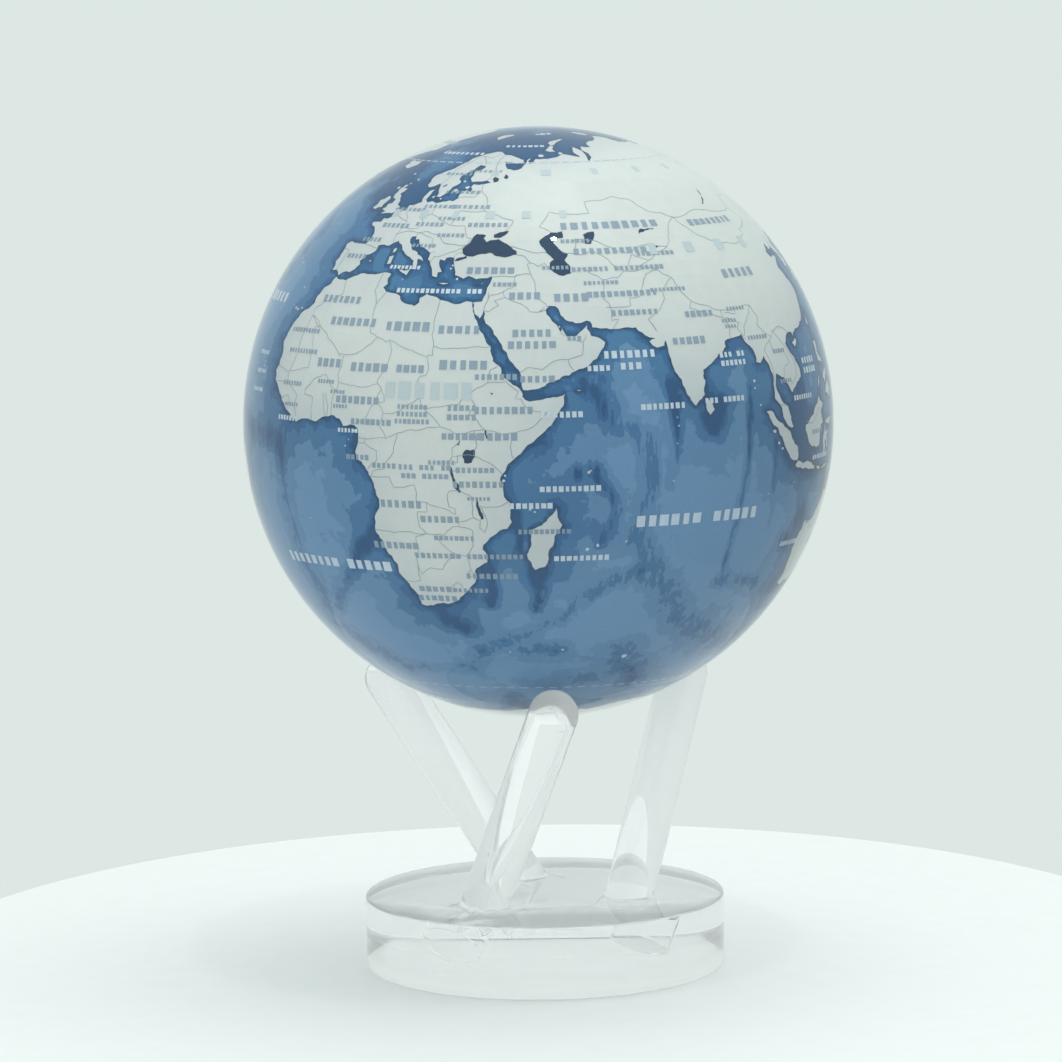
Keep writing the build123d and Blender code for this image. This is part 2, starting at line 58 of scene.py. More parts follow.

# The map, as longitude latitude pairs
# Each outline is a short one. roughen() adds the small wiggle of a real coast.
lands = {
    "africa": """
        -5.9 35.8 -4.3 35.2 -3 35.3 -2.2 35.1 -1 35.7 1 36.4 3 36.9 5.2 36.8 7.5 37 9.8 37.3 11 37
        10.5 35.9 11 34.8 10.1 34 11.1 33.2 13.2 32.9 15.2 32.3 15.8 31.3 17.8 30.6 19.2 30.3 20.1 31
        20 32 21.6 32.9 23.1 32.5 25 31.7 27.5 31.1 29.5 30.9 31 31.5 32.4 31.2 32.6 29.9 33 28.6
        33.7 27.4 34 26.6 35.5 24 36.9 22 37.2 20 37.4 18.9 38.5 18 39.2 15.9 40.2 15 41.4 13.9 42.7 13
        43.3 11.8 43.2 11.4 44.5 10.4 46.5 10.7 49 11.3 51.3 11.9 51.1 10.4 50.2 8.2 48.6 5.3 47.5 4.2
        45.3 2 43.5 .4 42 -1.2 40.9 -2.3 40.1 -3.3 39.4 -4.7 38.8 -6.1 39.5 -6.9 39.4 -8.5 40 -10.3
        40.6 -10.8 40.6 -13 40.8 -14.9 39.8 -16.4 37 -17.9 34.9 -19.9 34.7 -20.8 35.5 -22 35.4 -23.8
        33 -25.2 32.6 -25.9 32.9 -26.8 32.4 -28.5 31 -29.9 29.2 -31.8 28 -33 25.7 -34 22.5 -34.1 20 -34.8
        18.5 -34.3 18.3 -33 18.2 -31.6 16.5 -28.6 15.2 -26.8 14.5 -23 12.4 -18.5 11.8 -17.2 12.5 -13.9
        13.7 -12 13.8 -10.7 13.2 -8.8 12.3 -6.1 11.2 -4 9.3 -2.2 9 -.7 9.5 .5 9.7 2.4 9.6 3.9 8.8 4.6
        7 4.4 6 4.3 5 5.8 3.5 6.4 1.2 6.1 -.5 5.3 -2 4.8 -4.5 5.2 -7.5 4.4 -9.2 5 -11.4 6.8 -13.2 8.5
        -13.7 9.5 -15 10.9 -16.7 12.4 -17.4 14.7 -16.5 16 -16.1 18 -16.4 19.6 -17 21 -16 23.7 -15 25.5
        -14 26.5 -12.9 27.9 -11.3 28.5 -9.8 29.8 -9.8 31.4 -8.5 33.3 -6.8 34.1""",
    "eurasia": """
        32.4 31.2 32.6 29.9 33.2 28.6 34.2 27.8 34.9 29.5 35 28 36.6 26 37.3 24.6 38.5 23 39.2 21.4
        40.3 19.6 41.2 18.4 42.5 16.8 42.9 14.9 43.3 12.7 45 12.8 47.5 13.5 49.5 14.6 52.2 15.6 55 17
        56.6 18.1 57.8 19 58.6 20.4 59.8 22.5 58.5 23.6 57 24 56.3 25.5 56.4 26.3 55.3 25.3 54 24.1
        52 24.1 51.6 24.9 51.3 26.1 50.8 25 50.1 26.5 48.8 28 48 29.5 48.7 30.3 50 30.2 50.8 29 51.5 27.9
        54 26.6 56.3 27.1 57 26.9 57.3 25.7 59 25.4 61.6 25.2 64 25.4 66.5 25.4 67 24.6 68.2 23.7
        70.4 22.9 69 22.3 70.5 20.8 72.2 21.2 72.6 22.3 72.8 20.5 72.9 18.9 73.4 16.5 74.2 14.8 75 12.6
        76.3 10 77.5 8.1 78.1 8.8 79.8 10.3 79.8 11.8 80.3 13.3 80.1 15.5 81.5 16.3 82.3 16.7 84.5 18.6
        86.8 20.1 86.9 21.3 88.5 21.7 90.5 22 91.8 22.4 92.3 20.8 93.5 19.7 94.4 18 94.3 16.1 95.5 15.8
        97 17.3 97.6 16 98.2 14.2 98.7 12 98.5 10 98.3 8 99.8 6.6 100.4 5 101.2 3 103.5 1.3 104.2 1.5
        103.4 3.8 102.6 6 101 6.9 100.1 8.5 99.3 10 100 13.3 101 12.7 102.4 12.2 103.5 10.6 104.8 8.7
        106.8 10.4 109.1 11.7 109.3 13.5 108 16.2 106.4 18 105.8 19.2 106.8 20.7 108.2 21.5 109.7 21.4
        110 20.4 110.7 21.3 113.3 22.1 114.5 22.4 116.8 23.3 118.5 24.6 119.6 26 121 28 121.9 29.3
        122 30.8 121.8 31.8 120.4 33.7 119.4 35 120.5 36.2 122.5 37.2 120.8 37.8 119 37.4 117.8 38.8
        119 39.2 121 40.7 121.5 39 124.3 39.9 125.2 38.3 126.6 37.5 126.3 34.8 128.5 34.9 129.4 36.2
        128.4 38.5 127.6 39.6 129.7 41.2 131 42.6 133 42.8 135.5 44.2 138.5 46.7 140.5 48.8 140.5 51
        141.3 53.2 139.5 54.2 137.5 54 135.5 54.7 138.5 56.4 143 59.3 148.5 59.5 152 59 155 59.5 157 61.7
        160.5 61.5 163.5 62.5 162 60 158.5 58 156 57 155.6 54 156.7 51 159 53 160.7 54.6 162.2 56.2
        163.3 58 166 60 170.5 60 174 61.7 179 62.5 177.5 64.7 181 65.2 186 64.5 190.2 66 185 67 180 69
        176 69.8 170.5 69.9 165 69.5 160.5 69.6 152 71 140 72.5 137 71.4 130 71 129 73 120 73 113.5 73.6
        113 76 104 77.7 98 76.2 87 75.2 81 73.6 80.5 72.2 77 72.4 74.8 72.8 73 71.2 74 68 71.3 66.5
        72.4 69 72.6 71 69 72.9 66.8 70.5 68.4 68.3 64 69.2 60.5 69.8 57 68.6 54.5 68.3 50 68 46.5 68
        45.5 66.9 44 66.1 44 68.4 42.2 66.5 40.5 64.6 37.5 63.9 34.8 64.4 32.7 66.9 38 66.2 41.1 66.8
        41 67.7 36 69.1 31 69.7 28 71 25.7 71.1 22 70.3 19.5 69.8 17 68.9 15 68 12.8 66.1 10.8 64.4 8 63.3
        5.3 62 5 60.5 5.6 58.9 7 58.1 8.7 58.4 10.6 59.4 11.3 58.8 12 57.4 12.9 55.6 14.3 55.5 16.2 56.7
        16.8 58.5 18.8 59.8 17.2 60.9 17.7 62.4 20.5 63.8 22.2 65.7 25 65.1 23.5 64 21.5 63 21.5 61.2
        22.9 60 25 60.2 28.5 60.5 30 59.9 28 59.5 24 59.4 23.5 58.5 24.4 57.9 24.2 57.1 22.6 57.7
        21.1 56.9 21 55.3 19.8 54.5 18.5 54.7 16.5 54.4 14.2 53.9 12.5 54.4 10.9 54 9.9 54.8 10.2 56.2
        10.6 57.6 8.6 57.1 8.1 55.6 8.8 54 7 53.4 5 53.2 4 51.8 2.5 51.1 1.6 50.3 .1 49.5 -1.3 49.6
        -1.5 48.7 -4.7 48.5 -4.3 47.8 -2.5 47.3 -1.2 46 -1.3 44.5 -1.8 43.4 -4.5 43.4 -8 43.7 -9.2 43
        -8.8 41.2 -9.4 38.8 -8.8 38.4 -8.9 37 -7.4 37.2 -6.4 36.8 -5.6 36 -4.4 36.7 -2.2 36.8 -.8 37.6
        .2 38.7 -.4 39.5 .8 40.8 3.2 41.9 3.1 43.1 4.8 43.4 6.6 43.2 8.9 44.4 10.3 43.6 11.2 42.4
        12.4 41.6 14.4 40.7 15.7 40 16 38.8 15.7 38 16.6 38.5 17.1 39.1 16.7 40.4 17.4 40.3 18.4 39.9
        17.9 40.7 16.2 41.5 16.1 41.9 14.2 42.5 13.5 43.6 12.3 44.9 12.5 45.5 13.7 45.6 13.9 44.8 14.9 45
        15.4 44 17.5 42.9 19.5 41.8 19.4 40.4 20.5 39.2 21.2 38.3 21.7 36.8 22.5 36.5 23.1 36.5 23 37.5
        24 37.7 23 39 22.7 40.4 24 40.1 24.3 40.8 26.2 40.8 26.2 40.1 26.5 39.3 26.9 38.4 27.3 37
        28.3 36.7 29.5 36.2 30.6 36.8 32.5 36.1 34 36.3 36 36.8 35.8 35.5 35 33 34.3 31.4""",
    "greatBritain": """
        -5.6 50.1 -3 50.7 .3 50.8 1.4 51.3 .7 52 1.7 52.7 .3 53 -.2 54.2 -1.6 55.4 -3 56 -1.9 57.6 -4 57.7
        -3.1 58.6 -5 58.6 -5.8 57.3 -5.6 55.7 -4.8 54.8 -3 54.4 -3 53.4 -4.5 53.2 -4.3 52.3 -5.2 51.8
        -3 51.3""",
    "ireland": "-6.2 52.2 -6 53.6 -5.6 54.6 -7.5 55.3 -8.5 54.4 -10 54 -9.5 53 -10.3 52 -8.5 51.6",
    "iceland": """
        -22.5 64 -19 63.4 -15 64.3 -13.6 65.2 -15 66.3 -18 66 -20.5 66 -22.5 66.4 -24.3 65.6 -22 64.9""",
    "svalbard": "12 78 14 79.7 18 80 22 80.4 26 80 22 78.8 18.5 77.6 16.5 76.7",
    "novayaSouth": "52 71.4 54 70.8 57.5 70.7 56.5 72.2 58 73.5 55 73.3",
    "novayaNorth": "55.5 73.4 59 74 63 75.6 68.5 76.8 66 77 58 76 55 75",
    "severnaya": "92 80.8 98 81 104 79.5 101 78.2 96 79",
    "madagascar": """
        49.3 -12 50.5 -15.6 49.6 -17.2 47.1 -24.9 45.1 -25.6 43.4 -22 44.4 -19.6 44.3 -16.5 46.5 -15.6
        48 -13.8""",
    "sriLanka": "79.8 8.2 80.2 9.7 81.3 8.5 81.8 7 80.6 5.9 79.9 7",
    "sumatra": """
        95.3 5.6 97.5 5.2 100.3 2.6 103.6 -1 105.9 -3 105.8 -5.9 104.5 -5.8 102 -3.7 100.3 -1 98.7 1.7
        96.5 3.7""",
    "java": """
        105.2 -6.8 106.1 -5.9 108.5 -6.7 110.9 -6.4 112.6 -6.9 114.4 -7.8 114.3 -8.7 111 -8.3 108 -7.8""",
    "borneo": """
        109.1 1.5 110.3 1.6 111.4 2.6 113.2 3.3 115.4 5.3 116.8 7 118 5.6 119.2 5.2 117.6 3.3 118.8 1
        117.5 .7 116.6 -1.5 116 -3.9 114.4 -4 111.8 -3.4 110.1 -1.4 109 .3""",
    "sulawesi": """
        119.3 -5.6 118.8 -2.8 119.8 .2 121 1.3 125 1.6 124 .4 120.2 .5 120.7 -1.3 123.3 -.9 121.7 -2
        122.8 -4.5 121.5 -4.6 121 -2.8 120.3 -3 120.4 -5.6""",
    "newGuinea": """
        131 -.8 134 -.8 134.3 -2 135 -3.3 137.9 -1.5 141 -2.6 145.7 -5 147.8 -6.3 147.2 -7.4 150.8 -10.3
        147.2 -9.5 144.6 -7.6 142.5 -9.2 139 -8.1 138 -5.6 133 -4 132.8 -2.8""",
    "newBritain": "148.3 -5.7 151.6 -4.2 152.4 -4.4 150.3 -6.2",
    "luzon": "120.3 16 120.6 18.5 122.3 18.4 121.6 16 124 12.9 122 14 120.6 14",
    "mindanao": "122 7.2 123.5 8.6 125.5 9.8 126.5 7.3 125.4 5.7 124 6.8",
    "visayas": "122 10.5 123 11.6 125 12.5 125.3 11 124 10 122.8 9.3",
    "palawan": "117.2 8.4 119.5 11.3 118.6 9.5",
    "taiwan": "120.1 23 121.6 25.2 121.5 23.8 120.8 22",
    "hainan": "108.7 19.3 110.4 20.1 111 19.6 109.6 18.2",
    "timor": "123.5 -10.3 125 -9 127.2 -8.4 125 -9.9",
    "flores": "119 -8.6 121 -8.2 123 -8.3 120.2 -9",
    "sumbawa": "115.2 -8.3 117 -8.2 118.8 -8.3 117 -9",
    "halmahera": "127.5 .8 128 2.1 128.6 1 128.2 -.8",
    "seram": "128 -3 130.8 -3 129.6 -3.4",
    "kyushu": "130 33.4 131.8 33.6 131.4 31.4 130.3 31.3",
    "honshu": """
        131 34.3 133 35.5 136 35.7 137 37.4 138.6 37.4 140 39.2 140 41.2 141.4 41.4 142 39.5 141 37
        140.8 35.7 138.8 34.8 137 34.6 135.8 33.5 135 34.6 132.5 34.2""",
    "shikoku": "132.4 33.5 134.4 34.3 134.2 33.3 132.9 32.8",
    "hokkaido": "140.2 41.6 140.4 43.2 141.7 45.4 143.5 44.2 145.4 43.3 143.3 42",
    "sakhalin": "142 46 142 49 142 52 142.7 54.3 143.3 52 144.5 49 143 47.5 143.4 46.5",
    "sicily": "12.5 38 15.6 38.2 15.1 36.7",
    "sardinia": "8.4 39 8.3 40.8 9.6 41.1 9.6 39.2",
    "corsica": "8.7 41.6 8.6 42.5 9.4 42.9 9.4 41.8",
    "crete": "23.6 35.4 25 35.4 26.3 35.2 24.8 34.9",
    "cyprus": "32.4 34.9 34.5 35.6 33.9 35",
    "mallorca": "2.4 39.5 3.1 39.9 3.3 39.4",
    "zealand": "11.1 55.5 12.5 56 12.2 55.1",
    "socotra": "53.4 12.6 54.4 12.6 54 12.3",
    "australia": """
        114.2 -22 113.7 -24 113.4 -26 114.2 -28 115 -30.5 115.7 -32 115 -34.3 118 -35 120 -33.9
        123.8 -33.9 126 -32.3 129 -31.7 131.2 -31.5 134.2 -32.8 135.7 -34.9 137.8 -32.6 137 -35.2
        138.5 -35 140 -37.6 143.5 -38.8 146.3 -39.1 148 -37.9 150 -37.2 151.3 -33.5 153 -31 153.6 -28.2
        153 -25.3 150.8 -23.4 149 -20.5 146.3 -18.9 145.4 -15 143.6 -14.3 142.6 -10.8 141.7 -12.8 141 -17
        139.5 -17.5 137 -15.9 135.5 -15 137 -12.3 135 -12.1 132.7 -11.4 130.8 -12.5 129.5 -14.9
        127.8 -14.2 126 -14 124 -16.3 122.2 -18 120 -19.9 117 -20.7""",
    "tasmania": "144.7 -40.7 148.2 -40.8 148 -43 146.5 -43.6 145.3 -42.4",
    "newZealandNorth": """
        172.7 -34.5 175.5 -36.8 178.4 -37.7 177 -39.5 175.2 -41.6 173.8 -39.3 174.8 -37.5""",
    "newZealandSouth": """
        172.7 -40.6 174.2 -41.6 172.8 -43.7 170.6 -45.9 168.5 -46.6 166.6 -45.9 170.5 -43""",
    "newCaledonia": "164 -20.2 167 -22.3 165.3 -21.6",
    "greenland": """
        -45 60 -48 61.2 -51.5 64 -54 67 -51 69.5 -55 71.5 -58 75 -68 76.3 -73 78.2 -65 81 -50 82.4
        -32 83.6 -20 82.2 -18 80 -19 77 -22 73 -22.5 70.3 -32 68 -38 65.6 -42 62.5""",
    "northAmerica": """
        -168 65.7 -162 66.8 -166 68.4 -156.5 71.3 -141 69.7 -128 70.5 -115 68.3 -108 68 -95 68.3
        -94.5 71.8 -90 69 -85 69.5 -81.5 67.5 -87 64.8 -94.5 60 -94 58.8 -92.5 57 -85 55.3 -82.3 53
        -79 51.3 -79 54.5 -76.6 57 -78.3 60.5 -77.5 62.5 -71 61.2 -69.5 58.8 -64.5 60.2 -61 56 -55.7 52.5
        -60 50.2 -66.5 50 -70.5 47 -65 48.8 -64.5 46.2 -61 45.5 -66 43.5 -67 45 -70.6 43 -70 41.7 -74 40.6
        -75.5 38 -76 35.3 -79 33.3 -81.3 31 -80 26.8 -80.5 25.2 -82 27.5 -84 30 -89.3 30.2 -91 29.2
        -94 29.6 -97.3 27.5 -97.8 22.5 -96 19 -94.5 18.2 -91 18.7 -90.4 21 -87 21.5 -88 18 -88.7 15.8
        -83.3 15 -83.6 11 -81.7 9 -79.5 9.5 -77.3 8.2 -78.3 7.3 -80 7.4 -83 8.3 -85.7 10 -87.6 13 -92 14.4
        -95.5 16 -101 17.4 -105.5 20.2 -106 22.7 -109.5 26 -112.7 30 -114.7 31.7 -112.6 28.5 -109.5 23
        -112.4 25.2 -115 29 -117.2 32.8 -120.6 34.7 -122.5 37.7 -124.3 40.3 -124 46.2 -124.6 48.4
        -122.8 49 -127.5 51.5 -130.3 54.8 -134 58 -139 59.8 -146 60.8 -151.5 59.5 -155 58 -161 55.5
        -158 58.3 -162 59.5 -165 61.5 -161 64.3""",
    "newfoundland": "-59.2 47.8 -55.7 51.5 -53 47 -56 47",
    "baffin": "-80 73.7 -72 71 -62 66.5 -65 62.7 -72 64.3 -73 67.5 -82 70 -88 72.5",
    "ellesmere": "-89 76.5 -78 76.4 -75 79 -63 82.3 -78 83 -90 81.5 -87 79",
    "victoriaIsland": "-117 69.6 -106 69.2 -105 72.7 -118 73.3",
    "banksIsland": "-125 71.6 -118 73.6 -123 74.3",
    "devonIsland": "-96 75.6 -80 75.7 -83 74.5 -93 74.6",
    "melville": "-116 75.6 -106 76 -108 74.8 -114 74.9",
    "vancouver": "-128 50.6 -123.5 48.4 -125 48.8",
    "cuba": "-84.8 21.9 -82.5 23.1 -79.3 22.8 -74.4 20.2 -77.6 19.9 -78 20.9",
    "hispaniola": "-74.4 18.5 -73 19.9 -69.9 19.7 -68.4 18.6 -71.3 17.8",
    "jamaica": "-78.3 18.4 -76.4 18.1 -77.2 17.8",
    "puertoRico": "-67.1 18.4 -65.7 18.3 -66.5 18",
    "southAmerica": """
        -77.3 8.2 -75 10.8 -71.7 12.3 -71.5 11 -68.3 11.2 -62 10.6 -60 8.4 -57 6 -51.8 4.4 -50 1 -48.5 -1
        -44.3 -2.7 -39.5 -3 -35.2 -5.5 -35 -8.8 -38.5 -13 -39.2 -17.5 -41 -21.7 -43.5 -23 -47.8 -25
        -48.7 -28.3 -52 -32.8 -54.8 -34.9 -58.4 -34 -56.8 -36.5 -58 -38.2 -62 -39 -65 -41 -63.8 -42.7
        -67.5 -46 -66 -48 -69.2 -51.5 -68.4 -53 -65.2 -54.7 -68.5 -55.3 -74 -52.5 -75.6 -48.5 -73.7 -44
        -73.5 -39.5 -71.5 -33 -70.3 -27 -70.3 -18.5 -75.5 -15 -78.8 -8.5 -81.2 -5 -80 -2.8 -80 .8
        -77.3 3.8 -77.5 6.5""",
    "falklands": "-61 -51.8 -58 -51.5 -59.5 -52.3",
    "antarctica": """
        -180 -78 -165 -78.2 -155 -77.2 -140 -75.2 -120 -73.8 -103 -74.6 -95 -72.8 -80 -73 -73 -72.5
        -68 -69.3 -66 -66.5 -60 -63.8 -57 -63.3 -61 -65.8 -62.5 -70 -61.5 -74.5 -70 -77 -60 -81 -40 -78
        -30 -77 -20 -73.5 -10 -71 0 -69.8 12 -70 25 -70.3 34 -68.8 45 -67.8 54 -65.9 62 -67.5 69 -69.2
        73 -69.9 78 -68.6 88 -66.8 100 -66 113 -66 127 -66.4 140 -66.8 150 -68.5 162 -70.8 170 -71.8
        165 -75 164 -78 180 -78 180 -90 -180 -90""",
}

# Small islands: longitude, latitude and radius in degrees
islets = [
    (55.5, -4.7, .35), (55.8, -4.3, .2), (57.6, -20.3, .4), (55.5, -21.1, .4), (63.4, -19.7, .25),
    (43.3, -11.6, .3), (44.3, -12.3, .25), (45.2, -12.8, .22), (39.4, -6.1, .35), (39.7, -5.1, .25),
    (73.5, 4.2, .2), (73.3, 6, .16), (73.1, .5, .16), (72.4, -7.3, .2), (92.8, 12.3, .4),
    (92.7, 10.7, .25), (93.8, 7.1, .25), (69.5, -49.3, .7), (51.7, -46.4, .3), (37.8, -46.9, .25),
    (50.6, 26, .2), (-15.6, 28.1, .35), (-16.6, 28.3, .35), (-14, 28.4, .3), (-17.9, 28.7, .2),
    (-24, 15.1, .3), (-23.6, 16.1, .25), (-25, 17, .2), (6.6, .2, .25), (7.4, 1.6, .15),
    (8.7, 3.5, .25), (-5.7, -16, .2), (-14.4, -7.9, .2), (-12.3, -37.1, .2), (-17, 32.7, .25),
    (-25.5, 37.8, .3), (-28, 38.6, .25), (97.6, 1.1, .5), (99, -1.5, .45), (100.2, -2.8, .35),
    (105.6, -10.5, .2), (96.8, -12.1, .18), (116.5, -8.5, .35), (-7, 62, .3), (-1.3, 60.3, .3),
    (-3, 59, .25), (-7, 57.6, .45), (-8.5, 71, .3), (14.5, 35.9, .18), (28, 36.2, .3),
    (26.3, 39.1, .25), (26, 38.4, .25), (18.5, 57.5, .45), (22.5, 58.4, .5), (15, 55.1, .25),
    (20, 60.2, .3), (55, 80.7, .8), (62, 80.8, .7), (49, 80.5, .5), (49, 69.2, .6), (59.5, 70, .5),
    (-155.6, 19.6, .5), (-157.9, 21.4, .3), (-159.5, 22, .25), (178, -17.8, .6), (179, -16.7, .5),
    (159.8, -9.3, .6), (161, -8.6, .5), (157.3, -8, .5), (167, -15.3, .5), (-91, -.6, .45),
    (-172, -13.7, .3), (-149.5, -17.6, .3), (144.8, 13.5, .2),
]

lakes = {
    "blackSea": """
        29.1 41.3 28 42 27.7 42.7 28.5 43.6 29.6 44.9 30.7 46.4 32 46.3 33.2 46 32.6 45.4 33.5 44.5
        35.4 45 36.6 45.2 37.8 44.5 39.5 43.6 41.4 42.3 41.5 41.6 39.5 41.1 37 41.2 35.1 42 32.5 41.7
        31.3 41.3""",
    "azov": "35.2 46.2 36.8 46.8 39 47.1 38 46 37 45.5 35.4 45.5",
    "marmara": "26.1 40 26.9 40.7 28.6 41 29.1 41.35 29.4 40.8 28.2 40.4 26.5 40.1",
    "caspian": """
        50 46.6 53 46.8 53 45.3 51.3 45.2 50.4 44.4 51.4 43.2 52.6 42 53.7 41.5 52.8 40.1 53.8 39
        53.9 37.2 52 36.7 50.2 37.4 48.9 38.3 49.3 39.6 50.3 40.3 48.6 41.9 47.5 43.3 46.9 44.6 48.5 45.8""",
    "aral": "58.3 45.9 59.5 46.4 61.3 46.6 61 45.2 59.9 43.7 58.4 43.8 58.5 45",
    "victoria": "31.8 -.5 32.5 .3 34 .3 34.1 -1.2 33.4 -2.4 32 -2.5 31.7 -1.2",
    "tanganyika": "29.1 -3.4 29.5 -3.4 29.9 -5.6 31.2 -8.4 30.8 -8.8 29.6 -6.4 29.3 -5",
    "malawi": "33.9 -9.6 34.4 -9.8 34.7 -12 35.3 -14.2 34.8 -14.4 34.2 -12.3 34 -11",
    "turkana": "35.9 4.6 36.3 4.4 36.7 2.6 36.3 2.6",
    "albert": "30.6 1.2 31.3 2.2 31 1.2",
    "tana": "37 12.2 37.5 12.2 37.4 11.7",
    "balkhash": "73.6 45.6 74.5 46.8 77 46.8 79 46.6 76 46.4 74.5 46",
    "baikal": "103.8 51.6 105.5 52.3 108 53.5 109.9 55.6 109 54 107 52.6 105 51.6",
    "ladoga": "30.3 61 30.8 61.7 32.6 61.2 32.8 60.4 31.2 59.9",
    "onega": "34.4 61.4 34.8 62.6 36.2 61.6 35.6 61",
    "vanern": "12.5 58.6 13.6 59.3 14 58.9 13 58.4",
    "issykKul": "76.3 42.3 77.5 42.7 78.2 42.6 77 42.2",
    "superior": "-92 46.8 -88.5 48.7 -84.8 47.8 -84.7 46.6 -88 46.8",
    "michigan": "-87.8 42 -87.6 44.5 -85.2 45.8 -86.3 44 -86.8 42",
    "huron": "-84 45.9 -80.5 45.8 -80.5 44.6 -82 43.4 -83.6 44.2",
    "erieLake": "-83.2 41.8 -79.2 42.7 -80 42.9 -82.3 42.3",
    "ontario": "-79.6 43.3 -76.3 44.1 -76.5 43.5",
    "winnipeg": "-98.5 53.6 -97 52 -96.7 50.6 -97.6 51.6",
    "greatSlave": "-116.8 61.2 -112 62.6 -109.5 62.8 -113 61.4",
    "greatBear": "-124 65.6 -121 66.8 -118 66.4 -121 65.2",
    "titicaca": "-70 -15.4 -68.8 -16.4 -69.4 -16.3",
}

